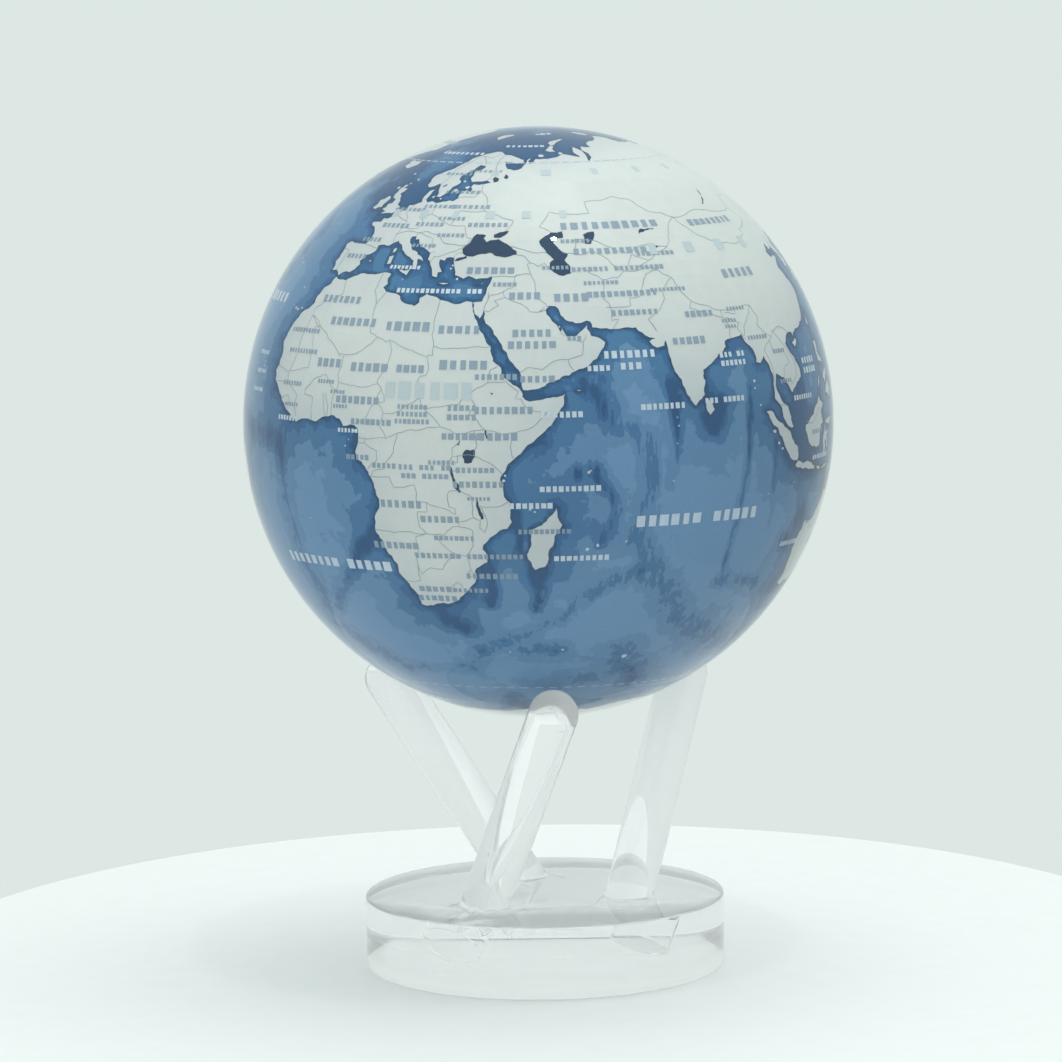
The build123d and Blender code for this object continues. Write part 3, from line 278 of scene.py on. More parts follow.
borders = [
    "-8.7 27.7 -8.7 28.7 -3.6 31 -1.2 32.1 -1.8 35",
    "-8.7 27.3 -4.8 25 -6.5 25 -5.5 16 -9.3 15.4 -12 14.8 -8.7 27.3 1.2 21.1 3.2 19 3.1 19.7 5.8 19.5 "
    "12 23.5 14.2 22.6 15 23 24 19.5 24 20",
    "10 24.4 12 23.5", "9.5 30.3 9.8 26.2 9.4 26.1 10 24.4", "9.5 30.3 8 33.2 8.3 35 8.6 36.9",
    "9.5 30.3 11.5 33.1", "25 22 25 31.6", "25 22 36.8 22",
    "25 22 25 20 24 20 24 15.7 22.8 15.5 22 13 23 11 24 8.7",
    "15 23 15.9 21 15.5 17 13.5 14.4 13.6 13.7 9 12.8 7 13 4 13.5 3.6 11.7 2.7 9 2.7 6.4",
    "4 13.5 3.5 15.4 4.2 17 4.2 19.2", ".2 15 2.2 12.5 3.6 11.7",
    ".2 15 -3 13.8 -5.3 11.5 -5.5 10.4 -2.8 10", "-2.8 10 -2.8 5.2", "-7.8 10.2 -8.3 7.5 -7.4 4.5",
    ".9 11.1 1.6 6.2", ".1 11.1 1.2 6.1", "-12 14.8 -16.4 16",
    "-12 14.8 -11.4 12.4 -13.7 12.6 -16.7 12.4", "-11.4 12.4 -8 10.2",
    "-13.3 9 -11 9.9 -10.3 8.4 -11.5 6.9", "-10.3 8.4 -8.4 7.6",
    "13.6 13.7 14.6 12.5 13.6 10 11.8 7 8.8 4.9", "14.6 12.5 15.5 10 14 9.7 15.4 7.5 18.6 8 22.9 11",
    "15.4 7.5 14.6 5 16 2.2 13.3 2.2 9.8 2.2", "16 2.2 18.6 3.5 22.5 4.1 27.4 5 24 8.7",
    "27.4 5 30.9 3.5 33.9 4.3 35.9 4.6", "24 8.7 28 9.3 31 9.8 33 12.2 34.1 9.5 33 7.8 35.9 4.6",
    "33 12.2 34.3 13.2 36.4 14.3 36.9 17 38.6 18", "36.4 14.3 40 14.5 42.4 12.5",
    "42.4 12.5 41.8 11 42.9 10.9", "42.9 10.9 44 9 47 8 48 8 45 5 41.9 3.9 39.5 3.4 36 4.4 35.9 4.6",
    "41.9 3.9 41 2 41 -.9 41.6 -1.7", "33.9 4.3 34.5 1.2 33.9 0 33.9 -1", "33.9 -1 37.6 -3 39.2 -4.7",
    "30.9 3.5 31.2 2.2 29.7 .6 29.6 -1.3 30.8 -1 33.9 -1", "29.6 -1.3 29 -2.7 30.8 -2.4 30.8 -1",
    "29 -2.7 29.3 -4.4 30.5 -4", "9.8 1 11.3 1 11.3 2.2", "11.3 1 14 -.5 14 -2.4 11.7 -4.5",
    "18.6 3.5 17.7 -.5 16.2 -2.5 15.5 -4.2 13 -4.7 12.3 -5.8",
    "12.3 -5.9 16.6 -5.9 17.5 -8 21.8 -7.3 22 -11 24 -10.9 24 -13 22 -13 22 -16.2 23.4 -17.6",
    "11.8 -17.3 14 -17.4 18.5 -17.4 23.4 -17.6 25.3 -17.8",
    "24 -10.9 25.5 -11.7 28.5 -12.5 29.8 -13.4 29.8 -12.2 28.5 -11.8 28.4 -9.2 28.8 -8.5 30.7 -8.3",
    "30.7 -8.3 33 -9.4 33.3 -10 33.3 -14 30.2 -15 30.4 -16 28.9 -16 27 -17.9 25.3 -17.8",
    "33.3 -14 34.6 -14.6 34.4 -16.2 35.3 -17.1 35.8 -16 35.9 -14.5 34.6 -11.5 37.5 -11.7 40.4 -10.5",
    "30.4 -16 32.9 -16.7 32.8 -20 31.3 -22.4",
    "25.3 -17.8 26.2 -19.7 28 -21.5 29.4 -22.2 31.3 -22.4 31.9 -25.8",
    "31.3 -25.7 31.1 -26.9 31.9 -27.2 32.1 -26.2 31.3 -25.7", "32.9 -26.8 32 -26.9",
    "29.4 -22.2 27 -23.6 25.6 -25.6 23 -25.3 20.8 -26.8 20 -24.8",
    "20 -28.4 20 -22 21 -22 21 -18.3 23.4 -17.6", "20 -28.4 17.4 -28.7 16.5 -28.6",
    "27 -29.6 28.3 -28.6 29.4 -29.5 28.3 -30.5 27 -29.6",
    "34.9 29.5 36 29.2 38 30.5 37 31.5 39.2 32.2 42 31.1 44.7 29.2 46.5 29.1 48 29.5",
    "46.5 29.1 47.7 30.1", "39.2 32.2 38.8 33.4 41 34.4 41.4 37 42.4 37.1", "36 32.7 38.8 33.4",
    "35.6 33.3 35.6 31.7 34.9 29.5", "36 36.6 37 36.7 42.4 37.1 44.8 37.2",
    "44.8 37.2 45.5 36 46 33 48.5 30", "44.8 37.2 44 39.4 44.8 39.7",
    "41.5 41.5 43.5 41.1 44.8 39.7 46.5 38.9 48 39.6 48.9 38.4", "40 43.5 43 42.7 46.5 41.9 48.6 41.9",
    "42.7 16.4 44 17.4 47 17 49 18.6 52 19 53.1 16.7", "52 19 55 20 55.2 22.7 52 24", "55.2 22.7 56 24.1",
    "50.8 24.8 51.6 24.1", "36 32.7 35.6 31.7",
    "53.9 37.3 57 38.2 60 36.5 61.2 35.6 61 34 60.6 31.5 61.8 30 61.6 27 63.2 27.2 61.6 25.2",
    "61.2 35.6 64.5 36 66.5 37.4 69 37.2 71.5 38 74.9 37.3",
    "60.9 29.8 66.3 29.9 66.4 31.5 69.3 32 70 34 71.6 36.5 74.9 37.3", "74.9 37.3 77.8 35.5",
    "71 24.5 69.6 27 72.9 29 74.5 31 74.5 33 77.8 35.5",
    "52.5 41.8 56 41.3 57 41.3 60 42.2 62 41 66.6 37.4", "56 45 61 44.5 66 42 69 41.3 73 43 80 42.3",
    "56 45 56 41.3", "68 38.5 69.5 41 73.5 39.5 69 37.2",
    "73.5 39.5 80 42.3 82.5 45.4 85.5 48.3 87.4 49.1 98 50.5 103 50.2 108 49.6 116.6 49.8 119.9 46.7 "
    "112 45 111.8 43.5 105 41.6 96.4 42.7 91 45.2 87.4 49.1",
    "50 46.7 47 48 50 51.6 55 51 61.5 51 61 54 70 55.2 76 54.3 80 51 87.4 49.1",
    "116.6 49.8 120 53.2 126 52.8 130.5 48.7 134.7 48.4 131 45 130.7 42.5",
    "77.8 35.5 79 32.5 81 30.2 88 27.9 92 27.8 97.3 28.3 98.6 25.8 97.6 24 99.2 22.2 101.2 21.2",
    "81 30.2 80.1 28.8 84 27.4 88.1 26.4 88.1 27.9", "88.9 27.3 92 26.9 92 27.8",
    "88.1 26.4 88.9 25.3 88.6 21.9", "88.9 26.3 92.3 25.1 91.2 23.9 92.2 22.5 92.6 21.3",
    "97.3 28.3 94.6 25.2 93.3 24 92.6 22", "124.3 40 128 42 130.6 42.4", "126.7 37.8 128.4 38.6",
    "101.2 21.2 102.2 22.5 105.3 23.2 108 21.6",
    "101.2 21.2 100.1 20.4 97.6 18.5 98.6 16.2 99.2 13 98.8 10.3",
    "100.1 20.4 101 17.6 104 18.3 105.5 15 103 14.3 102.4 12.2",
    "102.2 22.5 104 20.2 107.5 15.3 107.4 12.3 104.6 10.5", "100.1 6.5 102 6.2",
    "109.6 2 112 1.4 115 3 115.8 4.3 117.8 4.2", "141 -2.6 141 -9.1", "26.1 40.8 26.6 41.9 28 42",
    "22.9 41.3 28.6 43.8", "22.4 44.2 28.6 43.8 29.7 45.2", "20.2 46.1 22.4 44.2",
    "22.1 48.4 26.6 48.3 28.2 45.5 29.7 45.3", "31 52 34 51.2 40 49.6 38.2 47.1", "23.6 52 31 52",
    "23.6 52 22.1 48.4", "14.2 53.9 15 51 18.8 49.6 22.1 48.4", "20.9 55.3 26.6 55.7 28.2 57.5 27.8 59.4",
    "28.2 57.5 31 55 31 52", "31.5 62.9 28 60.6", "29.6 64.9 31.5 62.9", "31 69.7 29.6 66.8 29.6 64.9",
    "11.4 59 12.3 61 12.2 63.6 15 66 18 68.5 20.6 69.1 25 68.5 28.4 69.8", "20.6 69.1 24.1 65.8",
    "8.6 54.9 9.9 54.8", "7.2 53.3 6 51 8 49 7.6 47.5 9.5 47.5 13 47.6 13.8 48.7 12.2 50.3 15 51",
    "3 50.8 8 49", "7.6 47.5 6.9 46 7.5 43.8", "7 45.9 10.4 46.8 13.7 46.5 13.7 45.7",
    "13.7 46.5 16.2 46.9 20.2 46.1", "-1.8 43.4 3.1 42.5", "-8.8 41.9 -6.5 41.7 -7 40 -7.4 37.2",
    "13.7 46.5 19 45.2 19.4 43.5 18.5 42.5", "20.6 41 22.9 41.3", "20.2 39.7 21 41",
    "19.4 41.9 20.6 42.2",
    "-123 49 -95.2 49 -89 48 -82.5 45.3 -82.5 42 -76 44.2 -71.5 45 -69.3 47.3 -67.8 45.7",
    "-141 60.3 -141 69.6", "-117 32.5 -111 31.3 -106.5 31.8 -103 29 -99.5 27.5 -97.2 25.9",
    "-92 14.6 -91.5 17.2 -89.2 17.8",
    "-72 11.7 -72.5 7.5 -67.5 6.2 -67 1.2 -69.8 1.2 -70 -4.2 -73 -7.5 -70.5 -9.5 -69.5 -11 -65.4 -9.8 "
    "-60 -13.5 -58 -16.3 -58 -20 -57.8 -22.1 -54.6 -25.5 -57.6 -30.2 -53.4 -33.7",
    "-69.5 -17.5 -68.3 -20 -67 -23 -69.7 -30 -70.3 -36 -71.8 -41 -72 -50",
    "-60 8 -61 4.5 -60 5.2 -57.2 5.5", "-60 1 -51.7 4", "-79 1.5 -75.3 0 -70 -4.2", "-62 -22 -57.8 -22.1",
]

# Sea floor: ridge lines with a width in degrees, then broad banks
ridges = {
    "midAtlantic": (3.2, "-17 64 -30 57 -34 52 -28 44 -33 37 -44 28 -46 18 -40 7 -28 1 -14 -1 "
                         "-13 -10 -14 -22 -13 -33 -16 -42 -5 -50 2 -54"),
    "southwestIndian": (2.2, "2 -54 14 -53 26 -52 30 -47 38 -44 46 -40 52 -37 58 -31 64 -28 69 -25.5"),
    "carlsberg": (3.0, "57.5 13 58.5 9 61 6 64 3 66.5 1 67.5 -3 68 -8 67 -13 65.5 -18 69 -25.5"),
    "southeastIndian": (4.2, "69 -25.5 74 -31 78 -37 84 -41 92 -44 102 -48 116 -50 130 -50 145 -54"),
    "eastPacific": (5, "-110 22 -106 10 -103 0 -108 -10 -113 -22 -112 -35 -118 -48 -140 -57"),
    "pacificAntarctic": (4, "-140 -57 -165 -62 -190 -62 -205 -58 -215 -54"),
    "arctic": (2.4, "-17 66 -8 71 2 74 4 80 40 85 90 84"),
}
narrowRidges = {
    "ninetyEast": (.75, "91.5 11 90.5 4 90 -4 89 -12 88.3 -20 88 -30"),
    "chagosLaccadive": (1.2, "72.3 13 73 8 73.2 3 73.1 -1 72 -5 71.6 -8"),
    "walvis": (1.6, "11 -19 7 -22 4 -26 0 -30 -5 -34 -9 -37"),
    "mascarene": (1.3, "54.5 -4.5 57.5 -6 60.3 -10 61.3 -13 60 -17 57.8 -20"),
    "brokenRidge": (1.8, "88 -30.5 94 -31 101 -32.5"),
    "investigator": (.5, "98 -1 98.3 -8 98.8 -16 98.5 -24"),
    "madagascarBank": (1.6, "45.5 -26.5 46 -30 45.2 -35"),
    "mozambique": (1.3, "35.5 -26 35.8 -30 35.2 -34"),
    "davie": (.7, "41.5 -13 42 -18 41.5 -22"),
    "owen": (.8, "54.5 15 57 12 58.5 9"),
    "emperor": (1.5, "168 50 171 40 174 32 188 26 202 21"),
    "rioGrande": (2.2, "-36 -31 -30 -32"),
}
banks = {
    "kerguelen": (4.5, "68 -48 72 -52 77 -57"),
    "crozet": (3.0, "42 -46 50 -46"),
    "agulhas": (2.6, "24 -39 27 -40"),
    "seychelles": (2.2, "54 -4.5 57 -4.5"),
    "exmouth": (3.4, "111 -20 112 -17"),
    "wallaby": (2.5, "108 -23"),
    "naturaliste": (2.4, "112 -34"),
    "mawson": (2.6, "60 -56"),
    "ceylon": (2.5, "81 4 83 8"),
    "gunnerus": (2, "34 -66 34 -63"),
    "campbell": (5, "172 -51"),
    "ontongJava": (4, "158 -4"),
    "icelandBank": (4, "-25 62 -10 63"),
    "rockall": (3.5, "-16 56 -14 58"),
    "sunda": (5, "106 -2 112 -4 108 4"),
    "arafura": (5, "132 -9 138 -11"),
    "barents": (8, "25 74 40 72 50 75"),
    "northSea": (3.2, "3 56 2 53"),
    "kara": (7, "65 73 80 76 95 76"),
    "siberian": (8, "130 76 150 75 170 73"),
    "falklandBank": (5, "-60 -48 -52 -51"),
    "sahul": (4, "125 -12"),
}

# Shared helpers
def newPiece(name, bm, body, slotName, *replaced):   # bmesh to a finished object that rides on a body
    mesh = bpy.data.meshes.new(name)
    bm.to_mesh(mesh)
    bm.free()
    return finishPiece(name, mesh, body, slotName, *replaced)


def finishPiece(name, mesh, body, slotName, *replaced):
    piece = bpy.data.objects.new(name, mesh)
    bpy.context.scene.collection.objects.link(piece)
    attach(piece, body)
    if replaced:
        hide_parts(*replaced)
    return piece


def shadeSmooth(piece, angle=35):   # smooth faces, with hard edges kept where they turn sharply
    piece.data.polygons.foreach_set("use_smooth", [True] * len(piece.data.polygons))
    piece.data.set_sharp_from_angle(angle=radians(angle))


def roundedDrum(bm, radius, depth, turns, edge, matrix):   # an upright cylinder with softened rims
    bmesh.ops.create_cone(bm, cap_ends=True, segments=turns, radius1=radius, radius2=radius, depth=depth,
                          matrix=matrix)
    rims = [e for e in bm.edges if len(e.link_faces) == 2 and any(len(f.verts) > 4 for f in e.link_faces)]
    bmesh.ops.bevel(bm, geom=rims, offset=edge, affect="EDGES", segments=4, profile=0.5, material=-1)


def spinProfile(bm, profile, closed, steps, merge):   # a solid of revolution round the Z axis
    verts = [bm.verts.new((x, 0, z)) for x, z in profile]
    edges = [bm.edges.new(pair) for pair in neighbours(verts, closed)]
    bmesh.ops.spin(bm, geom=verts + edges, cent=(0, 0, 0), axis=(0, 0, 1), angle=2 * pi, steps=steps,
                   use_merge=True)
    bmesh.ops.remove_doubles(bm, verts=bm.verts[:], dist=merge)
    bmesh.ops.recalc_face_normals(bm, faces=bm.faces[:])


def neighbours(points, closed):   # each point with the next one
    return list(zip(points, points[1:] + points[:1])) if closed else list(zip(points, points[1:]))


def evaluatedMesh(piece):   # a piece's mesh with its modifiers applied
    graph = bpy.context.evaluated_depsgraph_get()
    graph.update()
    return bpy.data.meshes.new_from_object(piece.evaluated_get(graph))


# From the map to the ball
mapFit = {
    "frontLongitude": 46.1,   # degrees east, towards -Y
    # real latitudes, and where the print puts them: it draws the tropics together a little
    "latitudes": (-90, -69, -60, -35, -12, 0, 12, 25, 36, 45, 66, 90),
    "printed": (-90, -70.3, -57, -32.4, -10.9, 0, 10.7, 22.4, 33.1, 42.1, 64.2, 90),
    "cell": 3.0,              # degrees between the cuts that bend the land round the ball
    "coastSeed": 8,           # chance for coasts and for lakes
    "lakeSeed": 7,
    "flatEdge": 77.9,         # past this latitude an outline runs along the map's edge and stays straight
}
wiggles = {   # how far midpoints are pushed, as a share of a side, and the shortest side, in degrees
    "coast": (0.14, 1.1),
    "lake": (0.12, 0.7),
    "border": (0.09, 1.3),
}


def printedLatitude(lat):
    return float(np.interp(lat, mapFit["latitudes"], mapFit["printed"]))


def onBall(lon, lat, radius):   # a point of the map on a ball round the centre
    lat = radians(printedLatitude(lat))
    turn = radians(lon - mapFit["frontLongitude"] - 90)
    return centre + radius * Vector((cos(lat) * cos(turn), cos(lat) * sin(turn), sin(lat)))


def readPoints(text):
    values = [float(word) for word in text.split()]
    return list(zip(values[::2], values[1::2]))


def narrowing(lat, least):   # a degree of longitude beside a degree of latitude
    return max(cos(radians(lat)), least)


def roughen(points, closed, kind, seed):   # midpoints pushed sideways, again and again
    amount, shortest = wiggles[kind]
    dice = random.Random(seed)
    while True:
        result = []
        grew = False
        for (lonA, latA), (lonB, latB) in neighbours(points, closed):
            result.append((lonA, latA))
            shrink = narrowing((latA + latB) / 2, 0.15)
            length = sqrt(((lonB - lonA) * shrink) ** 2 + (latB - latA) ** 2)
            flat = abs(latA) > mapFit["flatEdge"] and abs(latB) > mapFit["flatEdge"]
            if length > shortest and not flat:
                push = dice.uniform(-amount, amount)
                result.append(((lonA + lonB) / 2 - (latB - latA) * push / shrink,
                               (latA + latB) / 2 + (lonB - lonA) * shrink * push))
                grew = True
        if not closed:
            result.append(points[-1])
        points = result
        if not grew:
            return points


def coastOf(name, text):
    return roughen(readPoints(text), True, "coast", mapFit["coastSeed"] + len(name))


def cutAlongGrid(bm, step):   # meridian and parallel cuts, so that each face bends round the ball
    for axis, normal in enumerate((Vector((1, 0, 0)), Vector((0, 1, 0)))):
        low = min(v.co[axis] for v in bm.verts)
        high = max(v.co[axis] for v in bm.verts)
        line = (int(low // step) + 1) * step
        while line < high:
            bmesh.ops.bisect_plane(bm, geom=bm.verts[:] + bm.edges[:] + bm.faces[:], dist=1e-5,
                                   plane_co=normal * line, plane_no=normal)
            line += step


def bendRound(bm, radius):
    bm.normal_update()
    bmesh.ops.triangulate(bm, faces=bm.faces[:])
    for v in bm.verts:
        v.co = onBall(v.co.x, v.co.y, radius)
    bmesh.ops.remove_doubles(bm, verts=bm.verts[:], dist=tiny)
    bmesh.ops.recalc_face_normals(bm, faces=bm.faces[:])
    for f in bm.faces:
        if f.normal.dot(f.calc_center_median() - centre) < 0:
            f.normal_flip()


def outlineFaces(outlines, radius):   # each closed outline becomes a filled patch on the ball
    bm = bmesh.new()
    for outline in outlines:
        patch = bmesh.new()
        patch.faces.new([patch.verts.new((lon, lat, 0)) for lon, lat in outline])
        patch.normal_update()
        bmesh.ops.triangulate(patch, faces=patch.faces[:])
        cutAlongGrid(patch, mapFit["cell"])
        bendRound(patch, radius)
        holder = bpy.data.meshes.new("patch")
        patch.to_mesh(holder)
        patch.free()
        bm.from_mesh(holder)
        bpy.data.meshes.remove(holder)
    return bm


# The sea is a ball that knows how far each place is from a coast and from a ridge
sea = {
    "turns": 360,            # faces round the equator
    "wall": 0.0016,
    "coastReach": 14.0,      # degrees over which the coast's field runs from 0 to 1
    "ridgeReach": 2.5,       # a ridge fades out at this many of its widths
    "sample": 0.6,           # degrees between the points that the fields are measured to
    "iceEdge": 80,           # past this latitude the southern ice has no coast
}


def alongLine(points, closed, step):   # evenly spaced points of a line, as unit vectors
    found = []
    for (lonA, latA), (lonB, latB) in neighbours(points, closed) or [(points[0], points[0])]:
        if lonB - lonA > 180:
            lonB -= 360
        if lonA - lonB > 180:
            lonB += 360
        shrink = narrowing((latA + latB) / 2, 0.1)
        count = max(1, int(sqrt(((lonB - lonA) * shrink) ** 2 + (latB - latA) ** 2) / step))
        for number in range(count):
            share = number / count
            found.append(onBall(lonA + (lonB - lonA) * share, latA + (latB - latA) * share, 1.0) - centre)
    found.append(onBall(*points[-1], 1.0) - centre)
    return found


def treeOf(points):
    tree = KDTree(len(points))
    for number, point in enumerate(points):
        tree.insert(point, number)
    tree.balance()
    return tree


coasts = {name: coastOf(name, text) for name, text in lands.items()}
coastPoints = []
for name, outline in coasts.items():
    closed = name != "antarctica"
    kept = [point for point in outline if closed or abs(point[1]) <= sea["iceEdge"]]
    coastPoints += alongLine(kept, closed, sea["sample"])
coastTree = treeOf(coastPoints)
ridgeTrees = []
for group, strength in ((ridges, 1.0), (narrowRidges, 1.15), (banks, 1.1)):
    for width, text in group.values():
        ridgeTrees.append((width, treeOf(alongLine(readPoints(text), False, sea["sample"])), strength))


def degreesTo(tree, way):   # from a direction to the nearest point in a tree
    return degrees(2 * asin(min(1, tree.find(way)[2] / 2)))


def seaFields(mesh):   # coast: 0 at a shore, 1 far out. ridge: 1 on a crest, 0 in a basin
    coast = np.zeros(len(mesh.vertices), np.float32)
    ridge = np.zeros(len(mesh.vertices), np.float32)
    for v in mesh.vertices:
        if (v.co - centre).length < globeRadius - sea["wall"] / 2:   # the wall's inner side is never seen
            continue
        way = (v.co - centre).normalized()
        coast[v.index] = min(1, degreesTo(coastTree, way) / sea["coastReach"])
        best = 0
        for width, tree, strength in ridgeTrees:
            near = degreesTo(tree, way) / width
            if near < sea["ridgeReach"]:
                best = max(best, strength * exp(-near * near))
        ridge[v.index] = best
    for name, values in (("coast", coast), ("ridge", ridge)):
        field = mesh.attributes.new(name, "FLOAT", "POINT")
        field.data.foreach_set("value", values)


def makeSea():
    halves = []
    sides = (("seaUpper", "inner_globe_upper", True), ("seaLower", "inner_globe_lower", False))
    for name, node, keepUp in sides:
        bm = bmesh.new()
        turns = sea["turns"]
        bmesh.ops.create_uvsphere(bm, u_segments=turns, v_segments=turns // 2, radius=globeRadius,
                                  matrix=Matrix.Translation(centre))
        bmesh.ops.bisect_plane(bm, geom=bm.verts[:] + bm.edges[:] + bm.faces[:], dist=1e-7, plane_co=centre,
                               plane_no=(0, 0, 1), clear_inner=keepUp, clear_outer=not keepUp)
        bmesh.ops.recalc_face_normals(bm, faces=bm.faces[:])
        bmesh.ops.solidify(bm, geom=bm.faces[:], thickness=sea["wall"])
        piece = newPiece(name, bm, "inner_globe", "printed_globe", node)
        seaFields(piece.data)
        shadeSmooth(piece)
        halves.append(piece)
    return halves


# Land, lakes, borders and marks are printed over the sea
printing = {
    "shoreLift": 0.000014,   # each layer stands a hair above the one below
    "landLift": 0.00007,
    "lakeLift": 0.00012,
    "markLift": 0.00015,
    "dashWidth": 0.35,       # degrees
    "dashLength": 1.5,
    "dashStep": 5,
    "dashedLatitudes": (-60, 66.5),
    "borderWidth": 0.00010,
    "shoreWidth": 0.00011,
    "shoreEnd": 80,          # the shore line is drawn as far as this latitude
    "isletReach": (.6, 1.1),
}


def makeLand():
    outlines = list(coasts.values())
    reach = printing["isletReach"]
    for lon, lat, size in islets:
        shrink = narrowing(lat, 0.2)
        dice = random.Random(int(lon * 10 + lat * 7))
        outline = []
        for angle in range(0, 360, 45):
            turn = radians(angle)
            outline.append((lon + size * dice.uniform(*reach) * cos(turn) / shrink,
                            lat + size * dice.uniform(*reach) * sin(turn)))
        outlines.append(outline)
    bm = outlineFaces(outlines, globeRadius + printing["landLift"])
    return newPiece("landPrint", bm, "inner_globe", "printed_globe")


def makeLakes():
    outlines = []
    for name, text in lakes.items():
        outlines.append(roughen(readPoints(text), True, "lake", mapFit["lakeSeed"] + len(name)))
    bm = outlineFaces(outlines, globeRadius + printing["lakeLift"])
    return newPiece("lakePrint", bm, "inner_globe", "printed_globe")


def makeLines(name, lines, width, lift, closed=False):   # thin raised lines that follow the ball
    curve = bpy.data.curves.new(name, "CURVE")
    curve.dimensions = "3D"
    curve.bevel_depth = width
    curve.bevel_resolution = 0
    for points in lines:
        spline = curve.splines.new("POLY")
        spline.points.add(len(points) - 1)
        for point, (lon, lat) in zip(spline.points, points):
            point.co = (*onBall(lon, lat, globeRadius + lift), 1)
        spline.use_cyclic_u = closed
    holder = bpy.data.objects.new(name + "Curve", curve)
    bpy.context.scene.collection.objects.link(holder)
    mesh = evaluatedMesh(holder)
    bpy.data.objects.remove(holder)
    mesh.name = name
    return finishPiece(name, mesh, "inner_globe", "printed_globe")


def makeBorders():
    lines = [roughen(readPoints(text), False, "border", number) for number, text in enumerate(borders)]
    return makeLines("borderPrint", lines, printing["borderWidth"], printing["landLift"])


def makeShores():   # the fine dark line round each coast
    lines = []
    for name, outline in coasts.items():
        if name != "antarctica":
            lines.append([point for point in outline if abs(point[1]) < printing["shoreEnd"]])
    return makeLines("shorePrint", lines, printing["shoreWidth"], printing["shoreLift"], closed=True)


# Marks stand where a globe has its names: rows of plain blocks, with no letters.
# Each has a longitude, a latitude, its blocks (a space parts two words, a stroke two rows), a
# height in degrees and, where its blocks stand wide apart, the step from one to the next.
degree = radians(1) * globeRadius   # one degree's length on the ball
marking = {
    "pitch": 0.84,           # from one block to the next, as a share of the height
    "rowPitch": 1.4,
    "widths": (.44, .7),
    "heights": (.72, .8, .8),
}
landMarks = [
    (-1, 31, "7", 1.8), (4.5, 26.5, "7", 2), (18.5, 26, "5", 2.3), (30, 25.5, "5", 2),
    (.5, 17.5, "4", 2), (11, 17, "5", 2.1), (20.5, 17, "4", 1.8), (31.5, 18, "5", 2.3),
    (38, 15.5, "7", 1.4), (46, 15, "5", 1.6), (9, 10, "7", 1.8), (12.5, 5.5, "8", 1.4),
    (21.5, 7.5, "7/7/8", 1.1), (31.5, 8, "5/5", 1.4), (39.5, 8.5, "8", 1.7), (31.5, 3, "6", 1.6),
    (38.5, 3, "5", 1.8), (9.5, -2, "5", 1.3), (15.5, -3.5, "5", 1.3), (24, -4.5, "3 3 2/3 5", 1.3),
    (27.5, -2.5, "6", 1.1), (34, -4, "7", 1.3), (34.5, -7, "8", 1.5), (18.5, -11.5, "6", 1.8),
    (26.5, -14.5, "6", 1.6), (34.5, -10, "6", .9), (29, -18.5, "8", 1.2), (16, -20.5, "7", 1.7),
    (25, -22.5, "8", 1.4), (37, -22.5, "10", 1.3), (47, -17, "10", 1.2), (36, -27, "8", 1.5),
    (23, -31.5, "5/6", 1.6), (31, -30.5, "7", 1.2), (45, 23.5, "5/6", 1.8), (53.5, 23.5, "3", 1.1),
    (43.5, 32.5, "4", 1.8), (53.5, 32, "4", 2), (35.5, 38, "6", 1.8), (65, 32.5, "11", 1.5),
    (67, 28.5, "8", 1.4), (58.5, 38, "7", 1.2), (70.5, 38, "10", 1.2), (64.5, 42, "10", 1.7),
    (66.5, 48, "10", 2.3), (101, 47.5, "8", 2), (98.5, 35.5, "5", 2.3), (78, 22, "5", 1.8),
    (82, 27.5, "5", 1.6), (92.5, 28, "6", 1), (89.5, 25, "5/4", .9), (102.5, 18, "5", 1),
    (103, 11.5, "5", 1), (96.5, 21.5, "7", 1), (39, 35, "5", 1.1), (-.5, 44.5, "5", 1.2),
    (5, 48, "6", 1.3), (6.5, 52, "7", 1.2), (16, 48.5, "6", 1.2), (16.5, 53, "7", 1.2),
    (22, 50, "6", 1.1), (26.5, 53, "7", 1.3), (33, 48.5, "7", 1.3), (21.5, 57, "7", 1.2),
    (-2.5, 40.5, "5", 1.3), (-9.5, 24, "10", 1.1), (-8.5, 19.5, "10", 1.1), (-10, 12.5, "7", 1.1),
    (.5, 13.5, "6", .9), (4, 11.5, "5", .9), (5, 8.5, "5", .9), (-9.5, 8, "6", .9),
    (23.5, 46, "6", 1.1), (17, 43.5, "6", 1), (50.5, 38.5, "6", 1), (76, 33, "9", 1),
    (60.5, 35, "8", 1), (76, 41, "8", 1.2), (56, 44.5, "6", 1.1), (15.5, 62.5, "6", 1.1),
    (26, 63.5, "7", 1.1), (134, -25, "9", 2.4), (115, -.5, "6", 1.1), (-100, 40, "6 6", 2.2),
    (-106, 57, "6", 2.4), (-102, 24, "6", 1.7), (-52, -11, "6", 2.4), (-65, -34, "9", 1.7),
    (-75, -8, "4", 1.5), (-73, 4, "8", 1.3), (-64, 7, "9", 1.2), (-64, -17, "7", 1.3),
    (-42, 74, "9", 2), (-71, -24, "5", 1), (-86, 15, "8", .9), (142, -6, "5 3", 1.2),
    (140, 38, "5", 1.2), (172, -43, "3 7", 1.2),
]
wideMarks = [
    (24.5, 12.5, "6", 4, 3.1), (28, 51, "6", 2.6, 6.5), (80, 63, "6", 2.6, 9), (92, 42, "4", 3.2, 8),
    (-98, 48, "12", 3, 4.5), (-58, -4, "12", 3, 4), (133, -21, "9", 2.6, 4), (20, -81, "10", 1.8, 9),
]
